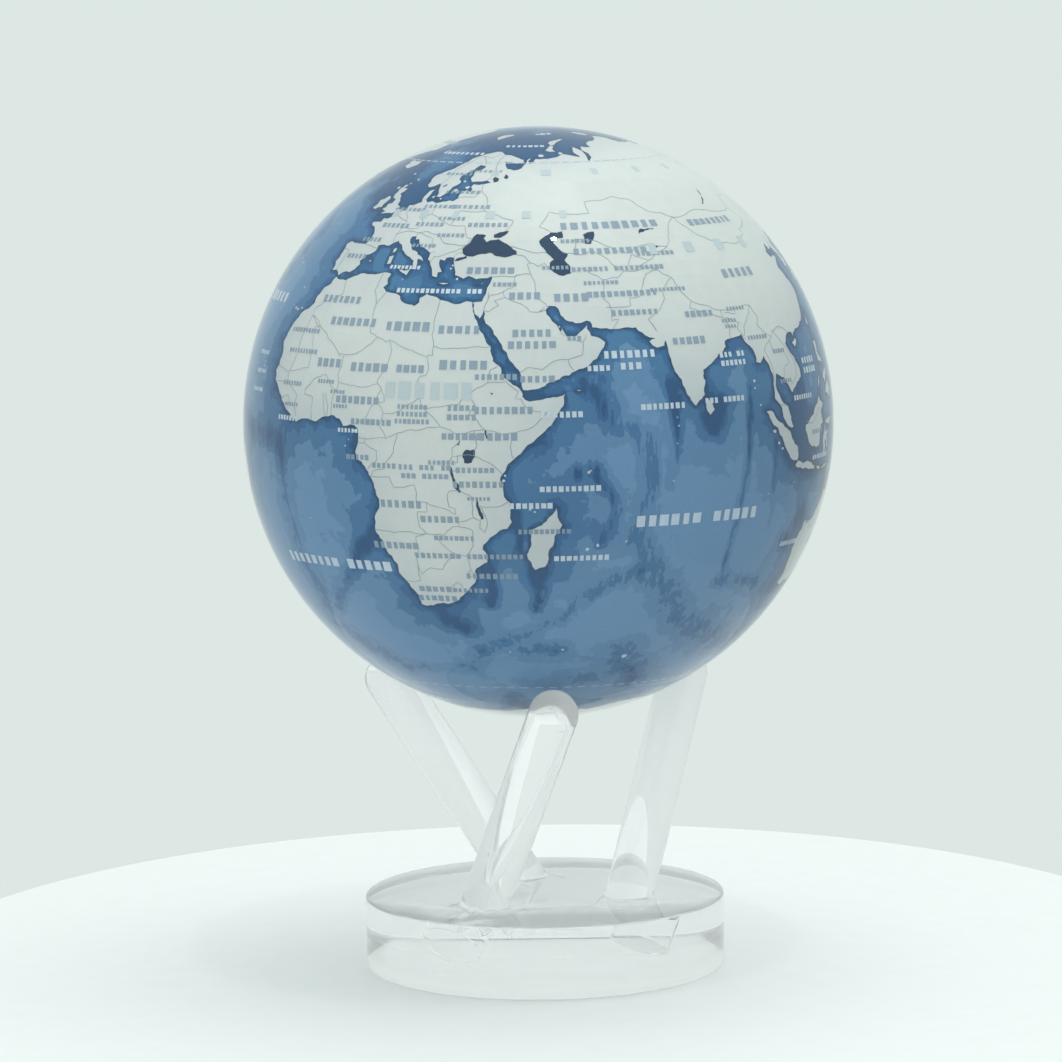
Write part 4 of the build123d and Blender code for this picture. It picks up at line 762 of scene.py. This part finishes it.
seaMarks = [
    (79.5, -15.5, "6 5", 2.8), (-3, -25.5, "8 5", 2.6), (50.5, 7.5, "7", 1.4), (44.5, -11.5, "7", 1.4),
    (52, -8, "10", 1.4), (54.5, -23, "9", 1.4), (58, 17, "4", 1.4), (64.5, 18.5, "7/3", 1.8),
    (88, 17.5, "3 2/6", 1.3), (70.5, 8.5, "8", 1.4), (84.5, 9, "3 5", 1.3), (24, 33.5, "13 3", 1.2),
    (109, 7.5, "8", 1.2), (117.5, -6, "9", 1.2), (-10.5, 5, "7", 1.2), (-25.5, 18, "6", 1),
    (-25, 14, "6", 1), (-25.5, 10, "7", 1), (8, 3.5, "8", 1), (14, 38.5, "8", 1), (-44, -18, "8", 1.7),
    (-150, 12, "7 5", 3.2), (-130, -28, "7 5", 3.2), (-42, 30, "8 5", 2.8), (160, -36, "6 3", 1.8),
    (150, 22, "7", 2), (5, 70, "9", 1.3), (40, 73.5, "7", 1.2), (-63, 15, "9", 1.2),
    (-90, 25, "4 2/6", 1.3), (114, 14, "5/5", 1.5), (110, -24, "7", 1.3), (-150, -56, "8 5", 2),
    (-172, 38, "5 7", 2),
]


def addMark(bm, lon, lat, height, width):   # one upright block that hugs the ball
    place = onBall(lon, lat, globeRadius + printing["markLift"])
    out = (place - centre).normalized()
    east = Vector((0, 0, 1)).cross(out).normalized()
    turn = Matrix((east, out.cross(east), out)).transposed().to_4x4()
    size = Matrix.Diagonal((width, height, 1, 1))
    bmesh.ops.create_grid(bm, x_segments=1, y_segments=1, size=0.5,
                          matrix=Matrix.Translation(place) @ turn @ size)


def makeMarks(name, marks, seed):
    bm = bmesh.new()
    dice = random.Random(seed)
    for lon, lat, words, height, *spread in marks:
        rows = words.split("/")
        shrink = narrowing(lat, 0.25)
        pitch = spread[0] if spread else height * marking["pitch"]
        for row, text in enumerate(rows):
            rowLat = lat + ((len(rows) - 1) / 2 - row) * height * marking["rowPitch"]
            counts = [int(word) for word in text.split()]
            across = -(sum(counts) + len(counts) - 2) / 2 * pitch
            for count in counts:
                for number in range(count):
                    wide = height * dice.uniform(*marking["widths"])
                    tall = height * dice.choice(marking["heights"])
                    addMark(bm, lon + across / shrink, rowLat, tall * degree, wide * degree)
                    across += pitch
                across += pitch
    return newPiece(name, bm, "inner_globe", "printed_globe")


def makeCircles():   # two dashed rings, near the poles
    bm = bmesh.new()
    for lat in printing["dashedLatitudes"]:
        for lon in range(-180, 180, printing["dashStep"]):
            addMark(bm, lon, lat, printing["dashWidth"] * degree, printing["dashLength"] * degree)
    return newPiece("circlePrint", bm, "inner_globe", "printed_globe")


# The clear ball round the globe
clearBall = {
    "turns": 256,            # faces round the equator
}
fillPlug = {
    "radius": 0.0030,
    "height": 0.0009,
    "sealWidth": 0.0005,
    "sunk": 0.0003,          # how far the plug and its ring lie under the polish
    "steps": 48,
}


def makeClearBall():   # the liquid and both shells bend light alike, so they are one clear body
    bm = bmesh.new()
    turns = clearBall["turns"]
    bmesh.ops.create_uvsphere(bm, u_segments=turns, v_segments=turns // 2, radius=ballRadius,
                              matrix=Matrix.Translation(centre))
    piece = newPiece("clearBall", bm, "outer_ball", "clear_shell", "outer_shell_upper", "outer_shell_lower",
                     "fluid_layer")
    shadeSmooth(piece, 60)
    return piece


def makePlug():   # a filler plug and its ring, just under the ball's lowest point
    deep = ballRadius - fillPlug["sunk"]
    plug = fillPlug["radius"]
    rings = (("fillPlugDisc", "fill_plug", "clear_shell", tiny, plug),
             ("plugSealRing", "plug_seal", "seal_rubber", plug, plug + fillPlug["sealWidth"]))
    made = []
    for name, node, slotName, inner, rim in rings:
        bm = bmesh.new()
        low = centre.z - deep
        high = low + fillPlug["height"]
        curved = low + deep - sqrt(deep * deep - rim * rim)   # follows the ball's underside
        profile = [(inner, low), (rim, curved), (rim, high), (inner, high)]
        spinProfile(bm, profile, True, fillPlug["steps"], 2 * tiny)
        piece = newPiece(name, bm, "outer_ball", slotName, node)
        shadeSmooth(piece)
        made.append(piece)
    return made


# The stand: three leaning rods in a clear disc
stand = {
    "rodRadius": 0.00635,
    "footCircle": 0.0227,    # where the rods' axes pass through the disc's top
    "domeCircle": 0.0452,    # where the domes' centres are
    "twist": 46.5,           # degrees that a foot lags behind its dome
    "cradleGap": 0.0003,
    "socketDepth": 0.0125,
    "socketClearance": 0.0001,
    "discEdge": 0.0006,
    "rodEdge": 0.0002,
    "glued": 0.0083,         # length of a rod's lower end that is wholly inside its socket
    "rodSteps": 96,
    "discSteps": 192,
    "socketSteps": 64,
    "directions": {"leg_front": -86.5, "leg_right": 33.5, "leg_left": 153.5},
}


def rodEnds(direction):   # the socket's floor and the dome's centre
    turn = radians(direction - stand["twist"])
    foot = Vector((stand["footCircle"] * cos(turn), stand["footCircle"] * sin(turn), discTop))
    reach = ballRadius + stand["cradleGap"] + stand["rodRadius"]
    turn = radians(direction)
    dome = Vector((stand["domeCircle"] * cos(turn), stand["domeCircle"] * sin(turn),
                   centre.z - sqrt(reach ** 2 - stand["domeCircle"] ** 2)))
    along = (dome - foot).normalized()
    return foot - along * stand["socketDepth"], dome


def rodPlace(floor, dome):
    return Matrix.Translation(floor) @ (dome - floor).to_track_quat("Z", "Y").to_matrix().to_4x4()


def makeRod(node, direction):
    floor, dome = rodEnds(direction)
    length = (dome - floor).length
    radius, edge = stand["rodRadius"], stand["rodEdge"]
    bm = bmesh.new()
    profile = [(tiny, 0), (radius - edge, 0), (radius, edge)]
    profile += [(radius, stand["glued"]), (radius, length / 2), (radius, length)]
    for angle in range(6, 91, 6):
        turn = radians(angle)
        profile.append((max(radius * cos(turn), tiny), length + radius * sin(turn)))
    spinProfile(bm, profile, False, stand["rodSteps"], 3 * tiny)
    bmesh.ops.transform(bm, matrix=rodPlace(floor, dome), verts=bm.verts[:])
    for f in bm.faces:   # the glued end takes the second finish
        above = (f.calc_center_median() - floor).dot((dome - floor).normalized())
        f.material_index = int(above < stand["glued"])
    name = "rod" + node.split("_")[1].capitalize()
    piece = newPiece(name, bm, "stand", "clear_acrylic", node)
    shadeSmooth(piece)
    return piece


def makeDisc():   # a thick disc with softened edges and three slanted blind sockets
    bm = bmesh.new()
    roundedDrum(bm, discRadius, discTop, stand["discSteps"], stand["discEdge"],
                Matrix.Translation((0, 0, discTop / 2)))
    disc = newPiece("clearDisc", bm, "stand", "clear_acrylic", "base_disc")
    for direction in stand["directions"].values():
        floor, dome = rodEnds(direction)
        length = (dome - floor).length
        cutter = bmesh.new()
        wide = stand["rodRadius"] + stand["socketClearance"]
        middle = Matrix.Translation((0, 0, length / 2 - stand["socketClearance"]))
        bmesh.ops.create_cone(cutter, cap_ends=True, segments=stand["socketSteps"], radius1=wide,
                              radius2=wide, depth=length, matrix=rodPlace(floor, dome) @ middle)
        mesh = bpy.data.meshes.new("socket")
        cutter.to_mesh(mesh)
        cutter.free()
        tool = bpy.data.objects.new("socket", mesh)
        bpy.context.scene.collection.objects.link(tool)
        cut = disc.modifiers.new("cut", "BOOLEAN")
        cut.object = tool
        cut.solver = "EXACT"
        mesh = evaluatedMesh(disc)
        disc.modifiers.clear()
        disc.data = mesh
        bpy.data.objects.remove(tool)
    shadeSmooth(disc, 30)
    for p in disc.data.polygons:   # the drilled sockets take the second finish
        level = min(p.center.z, discTop - p.center.z) > stand["discEdge"] * 1.1
        p.material_index = int(level and p.center.xy.length < discRadius - 2 * stand["discEdge"])
    return disc


# Node groups that several finishes share
def newGroup(name, inputs, outputs):
    group = bpy.data.node_groups.new(name, "ShaderNodeTree")
    for label, kind, default in inputs:
        item = group.interface.new_socket(label, in_out="INPUT", socket_type=kind)
        if default is not None:
            item.default_value = default
    for label, kind in outputs:
        group.interface.new_socket(label, in_out="OUTPUT", socket_type=kind)
    return group, group.nodes.new("NodeGroupInput"), group.nodes.new("NodeGroupOutput")


def node(tree, kind, **settings):
    made = tree.nodes.new(kind)
    for key, value in settings.items():
        if key.startswith("in_"):
            made.inputs[key[3:].replace("_", " ")].default_value = value
        else:
            setattr(made, key, value)
    return made


def mixColour(tree, blend="MIX"):   # gives its sockets: factor, first and second colour, result
    made = node(tree, "ShaderNodeMix", data_type="RGBA", blend_type=blend)
    return made.inputs[0], made.inputs[6], made.inputs[7], made.outputs[2]


def mathNode(tree, operation, a=None, b=None):
    made = tree.nodes.new("ShaderNodeMath")
    made.operation = operation
    for socket, value in zip(made.inputs, (a, b)):
        if isinstance(value, (int, float)):
            socket.default_value = value
        elif value is not None:
            tree.links.new(value, socket)
    return made.outputs[0]


def makeGrainGroup():   # fine uneven grain: a mask from 0 to 1 and a roughness round a middle value
    settings = [("Scale", "NodeSocketFloat", 400), ("Middle", "NodeSocketFloat", .3),
                ("Spread", "NodeSocketFloat", .1)]
    group, given, result = newGroup("fineGrain", settings,
                                    [("Mask", "NodeSocketFloat"), ("Roughness", "NodeSocketFloat")])
    place = group.nodes.new("ShaderNodeTexCoord")
    noise = node(group, "ShaderNodeTexNoise", in_Detail=6, in_Roughness=.6)
    group.links.new(place.outputs["Object"], noise.inputs["Vector"])
    group.links.new(given.outputs["Scale"], noise.inputs["Scale"])
    group.links.new(noise.outputs["Fac"], result.inputs["Mask"])
    off = mathNode(group, "SUBTRACT", noise.outputs["Fac"], .5)
    scaled = mathNode(group, "MULTIPLY", off, given.outputs["Spread"])
    group.links.new(mathNode(group, "ADD", scaled, given.outputs["Middle"]), result.inputs["Roughness"])
    return group


def makeDustGroup():   # sparse specks and soft smears, as on any handled clear plastic
    settings = [("Scale", "NodeSocketFloat", 900), ("Amount", "NodeSocketFloat", .5)]
    group, given, result = newGroup("dust", settings,
                                    [("Specks", "NodeSocketFloat"), ("Smear", "NodeSocketFloat")])
    place = group.nodes.new("ShaderNodeTexCoord")
    cells = node(group, "ShaderNodeTexVoronoi")
    group.links.new(place.outputs["Object"], cells.inputs["Vector"])
    group.links.new(given.outputs["Scale"], cells.inputs["Scale"])
    spot = mathNode(group, "LESS_THAN", cells.outputs["Distance"], .06)
    group.links.new(mathNode(group, "MULTIPLY", spot, given.outputs["Amount"]), result.inputs["Specks"])
    noise = node(group, "ShaderNodeTexNoise", in_Scale=22, in_Detail=3)
    group.links.new(place.outputs["Object"], noise.inputs["Vector"])
    smear = mathNode(group, "MULTIPLY", noise.outputs["Fac"], given.outputs["Amount"])
    group.links.new(smear, result.inputs["Smear"])
    return group


grainGroup = makeGrainGroup()
dustGroup = makeDustGroup()


def useGroup(tree, group, **values):
    made = tree.nodes.new("ShaderNodeGroup")
    made.node_tree = group
    for label, value in values.items():
        made.inputs[label].default_value = value
    return made


def newMaterial(name, **shader):   # a Principled material with the values that are the same all over it
    material = bpy.data.materials.new(name)
    material.use_nodes = True
    tree = material.node_tree
    surface = tree.nodes["Principled BSDF"]
    for key, value in shader.items():
        surface.inputs[key.replace("_", " ")].default_value = value
    return material, tree, surface


def srgb(code):   # a colour from its usual six-figure code
    parts = [int(code[i:i + 2], 16) / 255 for i in (0, 2, 4)]
    return (*[p / 12.92 if p <= .04045 else ((p + .055) / 1.055) ** 2.4 for p in parts], 1)


def addMottle(tree, surface, grain, first, second):   # two near colours and a roughness, mixed by a grain
    factor, a, b, out = mixColour(tree)
    tree.links.new(grain.outputs["Mask"], factor)
    a.default_value = srgb(first)
    b.default_value = srgb(second)
    tree.links.new(out, surface.inputs["Base Color"])
    tree.links.new(grain.outputs["Roughness"], surface.inputs["Roughness"])


def addBump(tree, surface, height, strength, distance):
    bump = node(tree, "ShaderNodeBump", in_Strength=strength, in_Distance=distance)
    tree.links.new(height, bump.inputs["Height"])
    tree.links.new(bump.outputs["Normal"], surface.inputs["Normal"])


# The print's inks
printInks = {   # two near colours and the scale of their mottling
    "landInk": ("D2D6D3", "C8CDCB", 260),
    "lakeInk": ("0F2F4D", "163A5C", 500),
    "borderInk": ("A3AFB2", "95A3A8", 900),
    "shoreInk": ("10466C", "27557A", 900),
    "landMarkInk": ("8397A8", "8FA1B0", 900),
    "wideMarkInk": ("BCC8CC", "B4C2C8", 900),
    "seaMarkInk": ("DDE6EA", "B9C9D4", 900),
    "circleInk": ("B9C8D2", "AEBFCB", 900),
}
seaInks = {   # from a shore down, each with the depth at which it starts and ends
    "14507D": (0, .17),
    "2A628F": (.18, .32),
    "3F749D": (.33, .58),
    "5F8BAE": (.59, .86),
    "6D96B8": (.87, 1),
}
seaNoises = {   # scale, detail, roughness, and how far each one swings the depth
    "broad": (38, 4, .55, .8),
    "ragged": (170, 8, .62, .75),
    "streaks": (1, 4, .65, 1.5),
}
seaFloor = {
    "streakScale": (520, 520, 60),   # cracks run north and south
    "coastPower": .5,
    "ridgeRise": .52,
    "shoreLine": "10466C",
    "shoreFade": (.03, .055),        # the darkest line, right at the shore
    "shoreWeight": .75,
    "speckWeight": .12,
}
printGloss = {"roughness": .42, "specular": .35}


def seaSwing(tree, vector, name):   # one noise that swings the depth up and down round zero
    scale, detail, rough, amount = seaNoises[name]
    noise = node(tree, "ShaderNodeTexNoise", in_Scale=scale, in_Detail=detail, in_Roughness=rough)
    tree.links.new(vector, noise.inputs["Vector"])
    return mathNode(tree, "MULTIPLY", mathNode(tree, "SUBTRACT", noise.outputs["Fac"], .5), amount)


def seaDepth(tree, coast, ridge):   # 0 at a shore, about 1 in a basin, less on a ridge
    place = tree.nodes.new("ShaderNodeTexCoord")
    centred = node(tree, "ShaderNodeMapping", in_Location=(0, 0, -centre.z))
    tree.links.new(place.outputs["Object"], centred.inputs["Vector"])
    streaky = node(tree, "ShaderNodeMapping", in_Scale=seaFloor["streakScale"])
    tree.links.new(centred.outputs["Vector"], streaky.inputs["Vector"])
    depth = mathNode(tree, "POWER", coast, seaFloor["coastPower"])
    for name in ("broad", "ragged"):
        depth = mathNode(tree, "ADD", depth, seaSwing(tree, centred.outputs["Vector"], name))
    depth = mathNode(tree, "SUBTRACT", depth, mathNode(tree, "MULTIPLY", ridge, seaFloor["ridgeRise"]))
    streaks = seaSwing(tree, streaky.outputs["Vector"], "streaks")
    return mathNode(tree, "ADD", depth, mathNode(tree, "MULTIPLY", streaks, ridge))


def seaSteps(tree, depth):   # flat steps of colour, as a printed sea floor has
    ramp = tree.nodes.new("ShaderNodeValToRGB")
    stops = [(at, ink) for ink, ends in seaInks.items() for at in ends]
    for number, (at, ink) in enumerate(stops):
        stop = ramp.color_ramp.elements[number] if number < 2 else ramp.color_ramp.elements.new(at)
        stop.position = at
        stop.color = srgb(ink)
    tree.links.new(depth, ramp.inputs["Fac"])
    return ramp.outputs["Color"]


def makeSeaMaterial():
    material, tree, surface = newMaterial("seaInk", Specular_IOR_Level=printGloss["specular"])
    coast = node(tree, "ShaderNodeAttribute", attribute_name="coast").outputs["Fac"]
    ridge = node(tree, "ShaderNodeAttribute", attribute_name="ridge").outputs["Fac"]
    steps = seaSteps(tree, seaDepth(tree, coast, ridge))
    low, high = seaFloor["shoreFade"]
    nearShore = node(tree, "ShaderNodeMapRange", in_From_Min=low, in_From_Max=high,
                     in_To_Min=seaFloor["shoreWeight"], in_To_Max=0)
    tree.links.new(coast, nearShore.inputs["Value"])
    factor, plain, shore, edged = mixColour(tree)
    tree.links.new(nearShore.outputs[0], factor)
    tree.links.new(steps, plain)
    shore.default_value = srgb(seaFloor["shoreLine"])
    grain = useGroup(tree, grainGroup, Scale=1500, Middle=printGloss["roughness"], Spread=.12)
    speckWeight, clean, specks, inked = mixColour(tree, "OVERLAY")
    speckWeight.default_value = seaFloor["speckWeight"]
    tree.links.new(edged, clean)
    tree.links.new(grain.outputs["Mask"], specks)
    tree.links.new(inked, surface.inputs["Base Color"])
    tree.links.new(grain.outputs["Roughness"], surface.inputs["Roughness"])
    addBump(tree, surface, grain.outputs["Mask"], .15, .00003)
    return material


def makeInk(name):
    first, second, scale = printInks[name]
    material, tree, surface = newMaterial(name, Specular_IOR_Level=printGloss["specular"])
    grain = useGroup(tree, grainGroup, Scale=scale, Middle=printGloss["roughness"], Spread=.1)
    addMottle(tree, surface, grain, first, second)
    addBump(tree, surface, grain.outputs["Mask"], .1, .00002)
    return material


def makeClear(name, tint, ior, rough, dusty, through=1.0):   # polished plastic, with faint smears and dust
    material, tree, surface = newMaterial(name, Base_Color=srgb(tint), Transmission_Weight=through, IOR=ior,
                                          Metallic=0.0)
    dust = useGroup(tree, dustGroup, Scale=700, Amount=dusty)
    dull = mathNode(tree, "MULTIPLY", dust.outputs["Smear"], .05)
    speckled = mathNode(tree, "MULTIPLY", dust.outputs["Specks"], .25)
    total = mathNode(tree, "ADD", mathNode(tree, "ADD", dull, speckled), rough)
    tree.links.new(total, surface.inputs["Roughness"])
    grain = useGroup(tree, grainGroup, Scale=60, Middle=0, Spread=0)
    addBump(tree, surface, grain.outputs["Mask"], .05, .0001)
    letLampsThrough(tree, surface, tint)
    return material


def letLampsThrough(tree, surface, tint):   # what lies behind clear plastic is lit, not left in its shadow
    path = tree.nodes.new("ShaderNodeLightPath")
    clear = node(tree, "ShaderNodeBsdfTransparent", in_Color=srgb(tint))
    choice = tree.nodes.new("ShaderNodeMixShader")
    tree.links.new(path.outputs["Is Shadow Ray"], choice.inputs[0])
    tree.links.new(surface.outputs[0], choice.inputs[1])
    tree.links.new(clear.outputs[0], choice.inputs[2])
    tree.links.new(choice.outputs[0], tree.nodes["Material Output"].inputs["Surface"])


def makeSolid(name, first, second, scale, rough, metal=0.0, bump=.2, stretch=None):
    material, tree, surface = newMaterial(name, Metallic=metal)
    grain = useGroup(tree, grainGroup, Scale=scale, Middle=rough, Spread=.2)
    addMottle(tree, surface, grain, first, second)
    height = grain.outputs["Mask"]
    if stretch:   # turned or wound work shows fine rings
        place = tree.nodes.new("ShaderNodeTexCoord")
        lines = node(tree, "ShaderNodeTexWave", bands_direction="Z", in_Scale=stretch, in_Distortion=.4)
        tree.links.new(place.outputs["Object"], lines.inputs["Vector"])
        height = mathNode(tree, "ADD", grain.outputs["Mask"], lines.outputs["Fac"])
    addBump(tree, surface, height, bump, .0001)
    return material


def makeCellMaterial():   # dark silicon with a faint blue grid
    material, tree, surface = newMaterial("siliconFinish", Coat_Weight=.6, Coat_Roughness=.08)
    place = tree.nodes.new("ShaderNodeTexCoord")
    tiles = node(tree, "ShaderNodeTexBrick", in_Scale=240, in_Mortar_Size=.03, in_Color1=srgb("0B1430"),
                 in_Color2=srgb("101C40"), in_Mortar=srgb("5D6C8C"))
    tree.links.new(place.outputs["Object"], tiles.inputs["Vector"])
    tree.links.new(tiles.outputs["Color"], surface.inputs["Base Color"])
    grain = useGroup(tree, grainGroup, Scale=800, Middle=.3, Spread=.15)
    tree.links.new(grain.outputs["Roughness"], surface.inputs["Roughness"])
    return material


def setMaterial(piece, *materials):
    kept = [p.material_index for p in piece.data.polygons]
    piece.data.materials.clear()
    for material in materials:
        piece.data.materials.append(material)
    if len(materials) > 1:
        piece.data.polygons.foreach_set("material_index", kept)


def dressNodes():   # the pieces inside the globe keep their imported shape
    finishes = {
        "carrierFinish": (("E2E2DA", "D6D6CC", 300, .6), {},
                          ["carrier_plate", "cell_housing", "bearing_bridge"]),
        "blackPlasticFinish": (("101011", "1B1B1D", 500, .55), {}, ["coil_formers", "brush_block"]),
        "copperFinish": (("B86A38", "8E4A24", 600, .35), {"metal": 1.0, "stretch": 500}, ["drive_coils"]),
        "brassFinish": (("C9A24C", "B58C3C", 400, .32), {"metal": 1.0, "stretch": 120},
                        ["frame_screws", "bridge_screws", "brushes", "commutator", "magnet_collar",
                         "ballast_weight", "ballast_screw"]),
        "jewelFinish": (("A0142A", "7C0E20", 900, .08), {"bump": .02}, ["upper_jewel", "lower_jewel"]),
        "shaftFinish": (("C4C6C8", "AEB0B4", 700, .2), {"metal": 1.0, "stretch": 260}, ["magnet_shaft"]),
        "magnetFinish": (("222224", "2E2E31", 350, .6), {"metal": .3}, ["compass_magnet"]),
        "redLeadFinish": (("A81812", "8E120E", 900, .4), {}, ["lead_positive"]),
        "blackLeadFinish": (("0E0E10", "18181A", 900, .4), {}, ["lead_negative"]),
    }
    for name, (plain, extra, nodes) in finishes.items():
        material = makeSolid(name, *plain, **extra)
        for nodeName in nodes:
            setMaterial(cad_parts[nodeName], material)
    silicon = makeCellMaterial()
    for number in range(1, 5):
        setMaterial(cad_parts[f"solar_cell_{number}"], silicon)


# The object is built
seaPieces = makeSea()
print("stage 2: sea and its floor")
printPieces = {
    "landInk": makeLand(),
    "lakeInk": makeLakes(),
    "borderInk": makeBorders(),
    "shoreInk": makeShores(),
    "landMarkInk": makeMarks("landMarkPrint", landMarks, 3),
    "wideMarkInk": makeMarks("wideMarkPrint", wideMarks, 4),
    "seaMarkInk": makeMarks("seaMarkPrint", seaMarks, 5),
    "circleInk": makeCircles(),
}
print("stage 3: land, lakes, borders and marks")
ballPiece = makeClearBall()
plugPieces = makePlug()
rodPieces = [makeRod(name, direction) for name, direction in stand["directions"].items()]
discPiece = makeDisc()
print("stage 4: clear ball and stand")

seaMaterial = makeSeaMaterial()
for piece in seaPieces:
    setMaterial(piece, seaMaterial)
for ink, piece in printPieces.items():
    setMaterial(piece, makeInk(ink))
clearAcrylic = makeClear("standAcrylic", "FEFEFE", 1.45, .008, .35, .84)
cement = makeClear("jointCement", "FEFEFE", 1.03, .02, .35)   # joins rod and disc almost unseen
setMaterial(discPiece, clearAcrylic, cement)
for piece in rodPieces:
    setMaterial(piece, clearAcrylic, cement)
setMaterial(ballPiece, makeClear("ballAcrylic", "FDFEFE", 1.45, .004, .2))
setMaterial(plugPieces[0], makeClear("plugAcrylic", "F2F7F8", 1.49, .03, .3))
setMaterial(plugPieces[1], makeSolid("sealFinish", "C9CDCE", "BBC0C2", 800, .5))
dressNodes()
print("stage 5: finishes")

# Plinth, light and camera
room = {
    "wall": "DDE7E4",
    "plinthWidth": 0.178,    # half its size across, and from front to back
    "plinthDepth": 0.199,
    "plinthHeight": 0.06,
    "plinthDrop": 0.0002,    # a hair of air under the disc
    "plinthEdge": 0.004,
    "plinthSteps": 256,
    "plinthPaintedGlow": 0.28,      # light scattered back from the room, which fills the shadow
    "bounces": 24,           # painted light: the plinth's paint glows, filling its shadow as light scattered back from the room would
}
lamps = {   # each looks at the ball from its direction; only the spark is mirrored in the plastic
    "skyPanel": {"direction": (.12, .05, 1), "distance": 1.5, "size": 1.2, "power": 11},
    "rightPanel": {"direction": (1, .1, .8), "distance": 1.4, "size": 1.2, "power": 2.2},
    "frontPanel": {"direction": (-.4, -1, 0), "distance": 1.4, "size": 1.2, "power": 6},
    "backPanel": {"direction": (-.4, 1, -.1), "distance": 1.5, "size": 1.2, "power": 3},
    "spark": {"direction": (.091, -.209, .974), "distance": 1.3, "size": .045, "power": 1.2,
              "mirrored": True},
}
camera = {
    "distance": 1.1505,      # metres in front of the stand's axis
    "height": 0.2511,
    "pitch": 6.819,          # degrees down
    "roll": 0.791,
    "yaw": -0.114,
    "lens": 151.522,
    "film": 36,
}


def makePlinth():   # a round white plinth stands in for the floor
    bm = bmesh.new()
    shape = Matrix.Translation((0, 0, -room["plinthHeight"] / 2 - room["plinthDrop"])) @ \
        Matrix.Diagonal((room["plinthWidth"], room["plinthDepth"], 1, 1))
    roundedDrum(bm, 1, room["plinthHeight"], room["plinthSteps"], room["plinthEdge"], shape)
    mesh = bpy.data.meshes.new("plinth")
    bm.to_mesh(mesh)
    bm.free()
    plinth = bpy.data.objects.new("plinth", mesh)
    bpy.context.scene.collection.objects.link(plinth)
    shadeSmooth(plinth)
    paint = makeSolid("plinthPaint", "C8CACA", "C4C7C6", 120, .55, bump=.03)
    # the paint glows in the wall's colour: painted light that fills the plinth's shadows
    for part in paint.node_tree.nodes:
        if part.type == "BSDF_PRINCIPLED":
            part.inputs["Emission Color"].default_value = srgb(room["wall"])
            part.inputs["Emission Strength"].default_value = room["plinthPaintedGlow"]
    setMaterial(plinth, paint)


def makeLight(name, direction, distance, size, power, mirrored=False):   # a soft panel facing the ball
    data = bpy.data.lights.new(name, "AREA")
    data.energy = power
    data.shape = "DISK"
    data.size = size
    light = bpy.data.objects.new(name, data)
    place = centre + Vector(direction).normalized() * distance
    light.visible_glossy = mirrored
    light.visible_transmission = mirrored
    light.location = place
    light.rotation_euler = (centre - place).to_track_quat("-Z", "Y").to_euler()
    bpy.context.scene.collection.objects.link(light)


def makeRoom():
    world = bpy.data.worlds.new("room")
    world.use_nodes = True
    background = world.node_tree.nodes["Background"]
    background.inputs["Color"].default_value = srgb(room["wall"])
    background.inputs["Strength"].default_value = 1.0
    bpy.context.scene.world = world
    for name, settings in lamps.items():
        makeLight(name, **settings)


def makeCamera():
    data = bpy.data.cameras.new("camera")
    data.lens = camera["lens"]
    data.sensor_width = camera["film"]
    data.clip_start = .01
    pitch, yaw, roll = (radians(camera[key]) for key in ("pitch", "yaw", "roll"))
    forward = Vector((sin(yaw) * cos(pitch), cos(yaw) * cos(pitch), -sin(pitch)))
    right = forward.cross(Vector((0, 0, 1))).normalized()
    up = right.cross(forward)
    turnedRight = right * cos(roll) - up * sin(roll)
    turnedUp = right * sin(roll) + up * cos(roll)
    shot = bpy.data.objects.new("camera", data)
    shot.matrix_world = Matrix.Translation((0, -camera["distance"], camera["height"])) @ \
        Matrix((turnedRight, turnedUp, -forward)).transposed().to_4x4()
    bpy.context.scene.collection.objects.link(shot)
    bpy.context.scene.camera = shot


makePlinth()
makeRoom()
makeCamera()
bpy.context.scene.view_settings.view_transform = "Standard"
cycles = bpy.context.scene.cycles
cycles.blur_glossy = 0
for kind in ("max_bounces", "glossy_bounces", "transmission_bounces", "transparent_max_bounces"):
    setattr(cycles, kind, room["bounces"])
print("stage 6: plinth, light and camera")
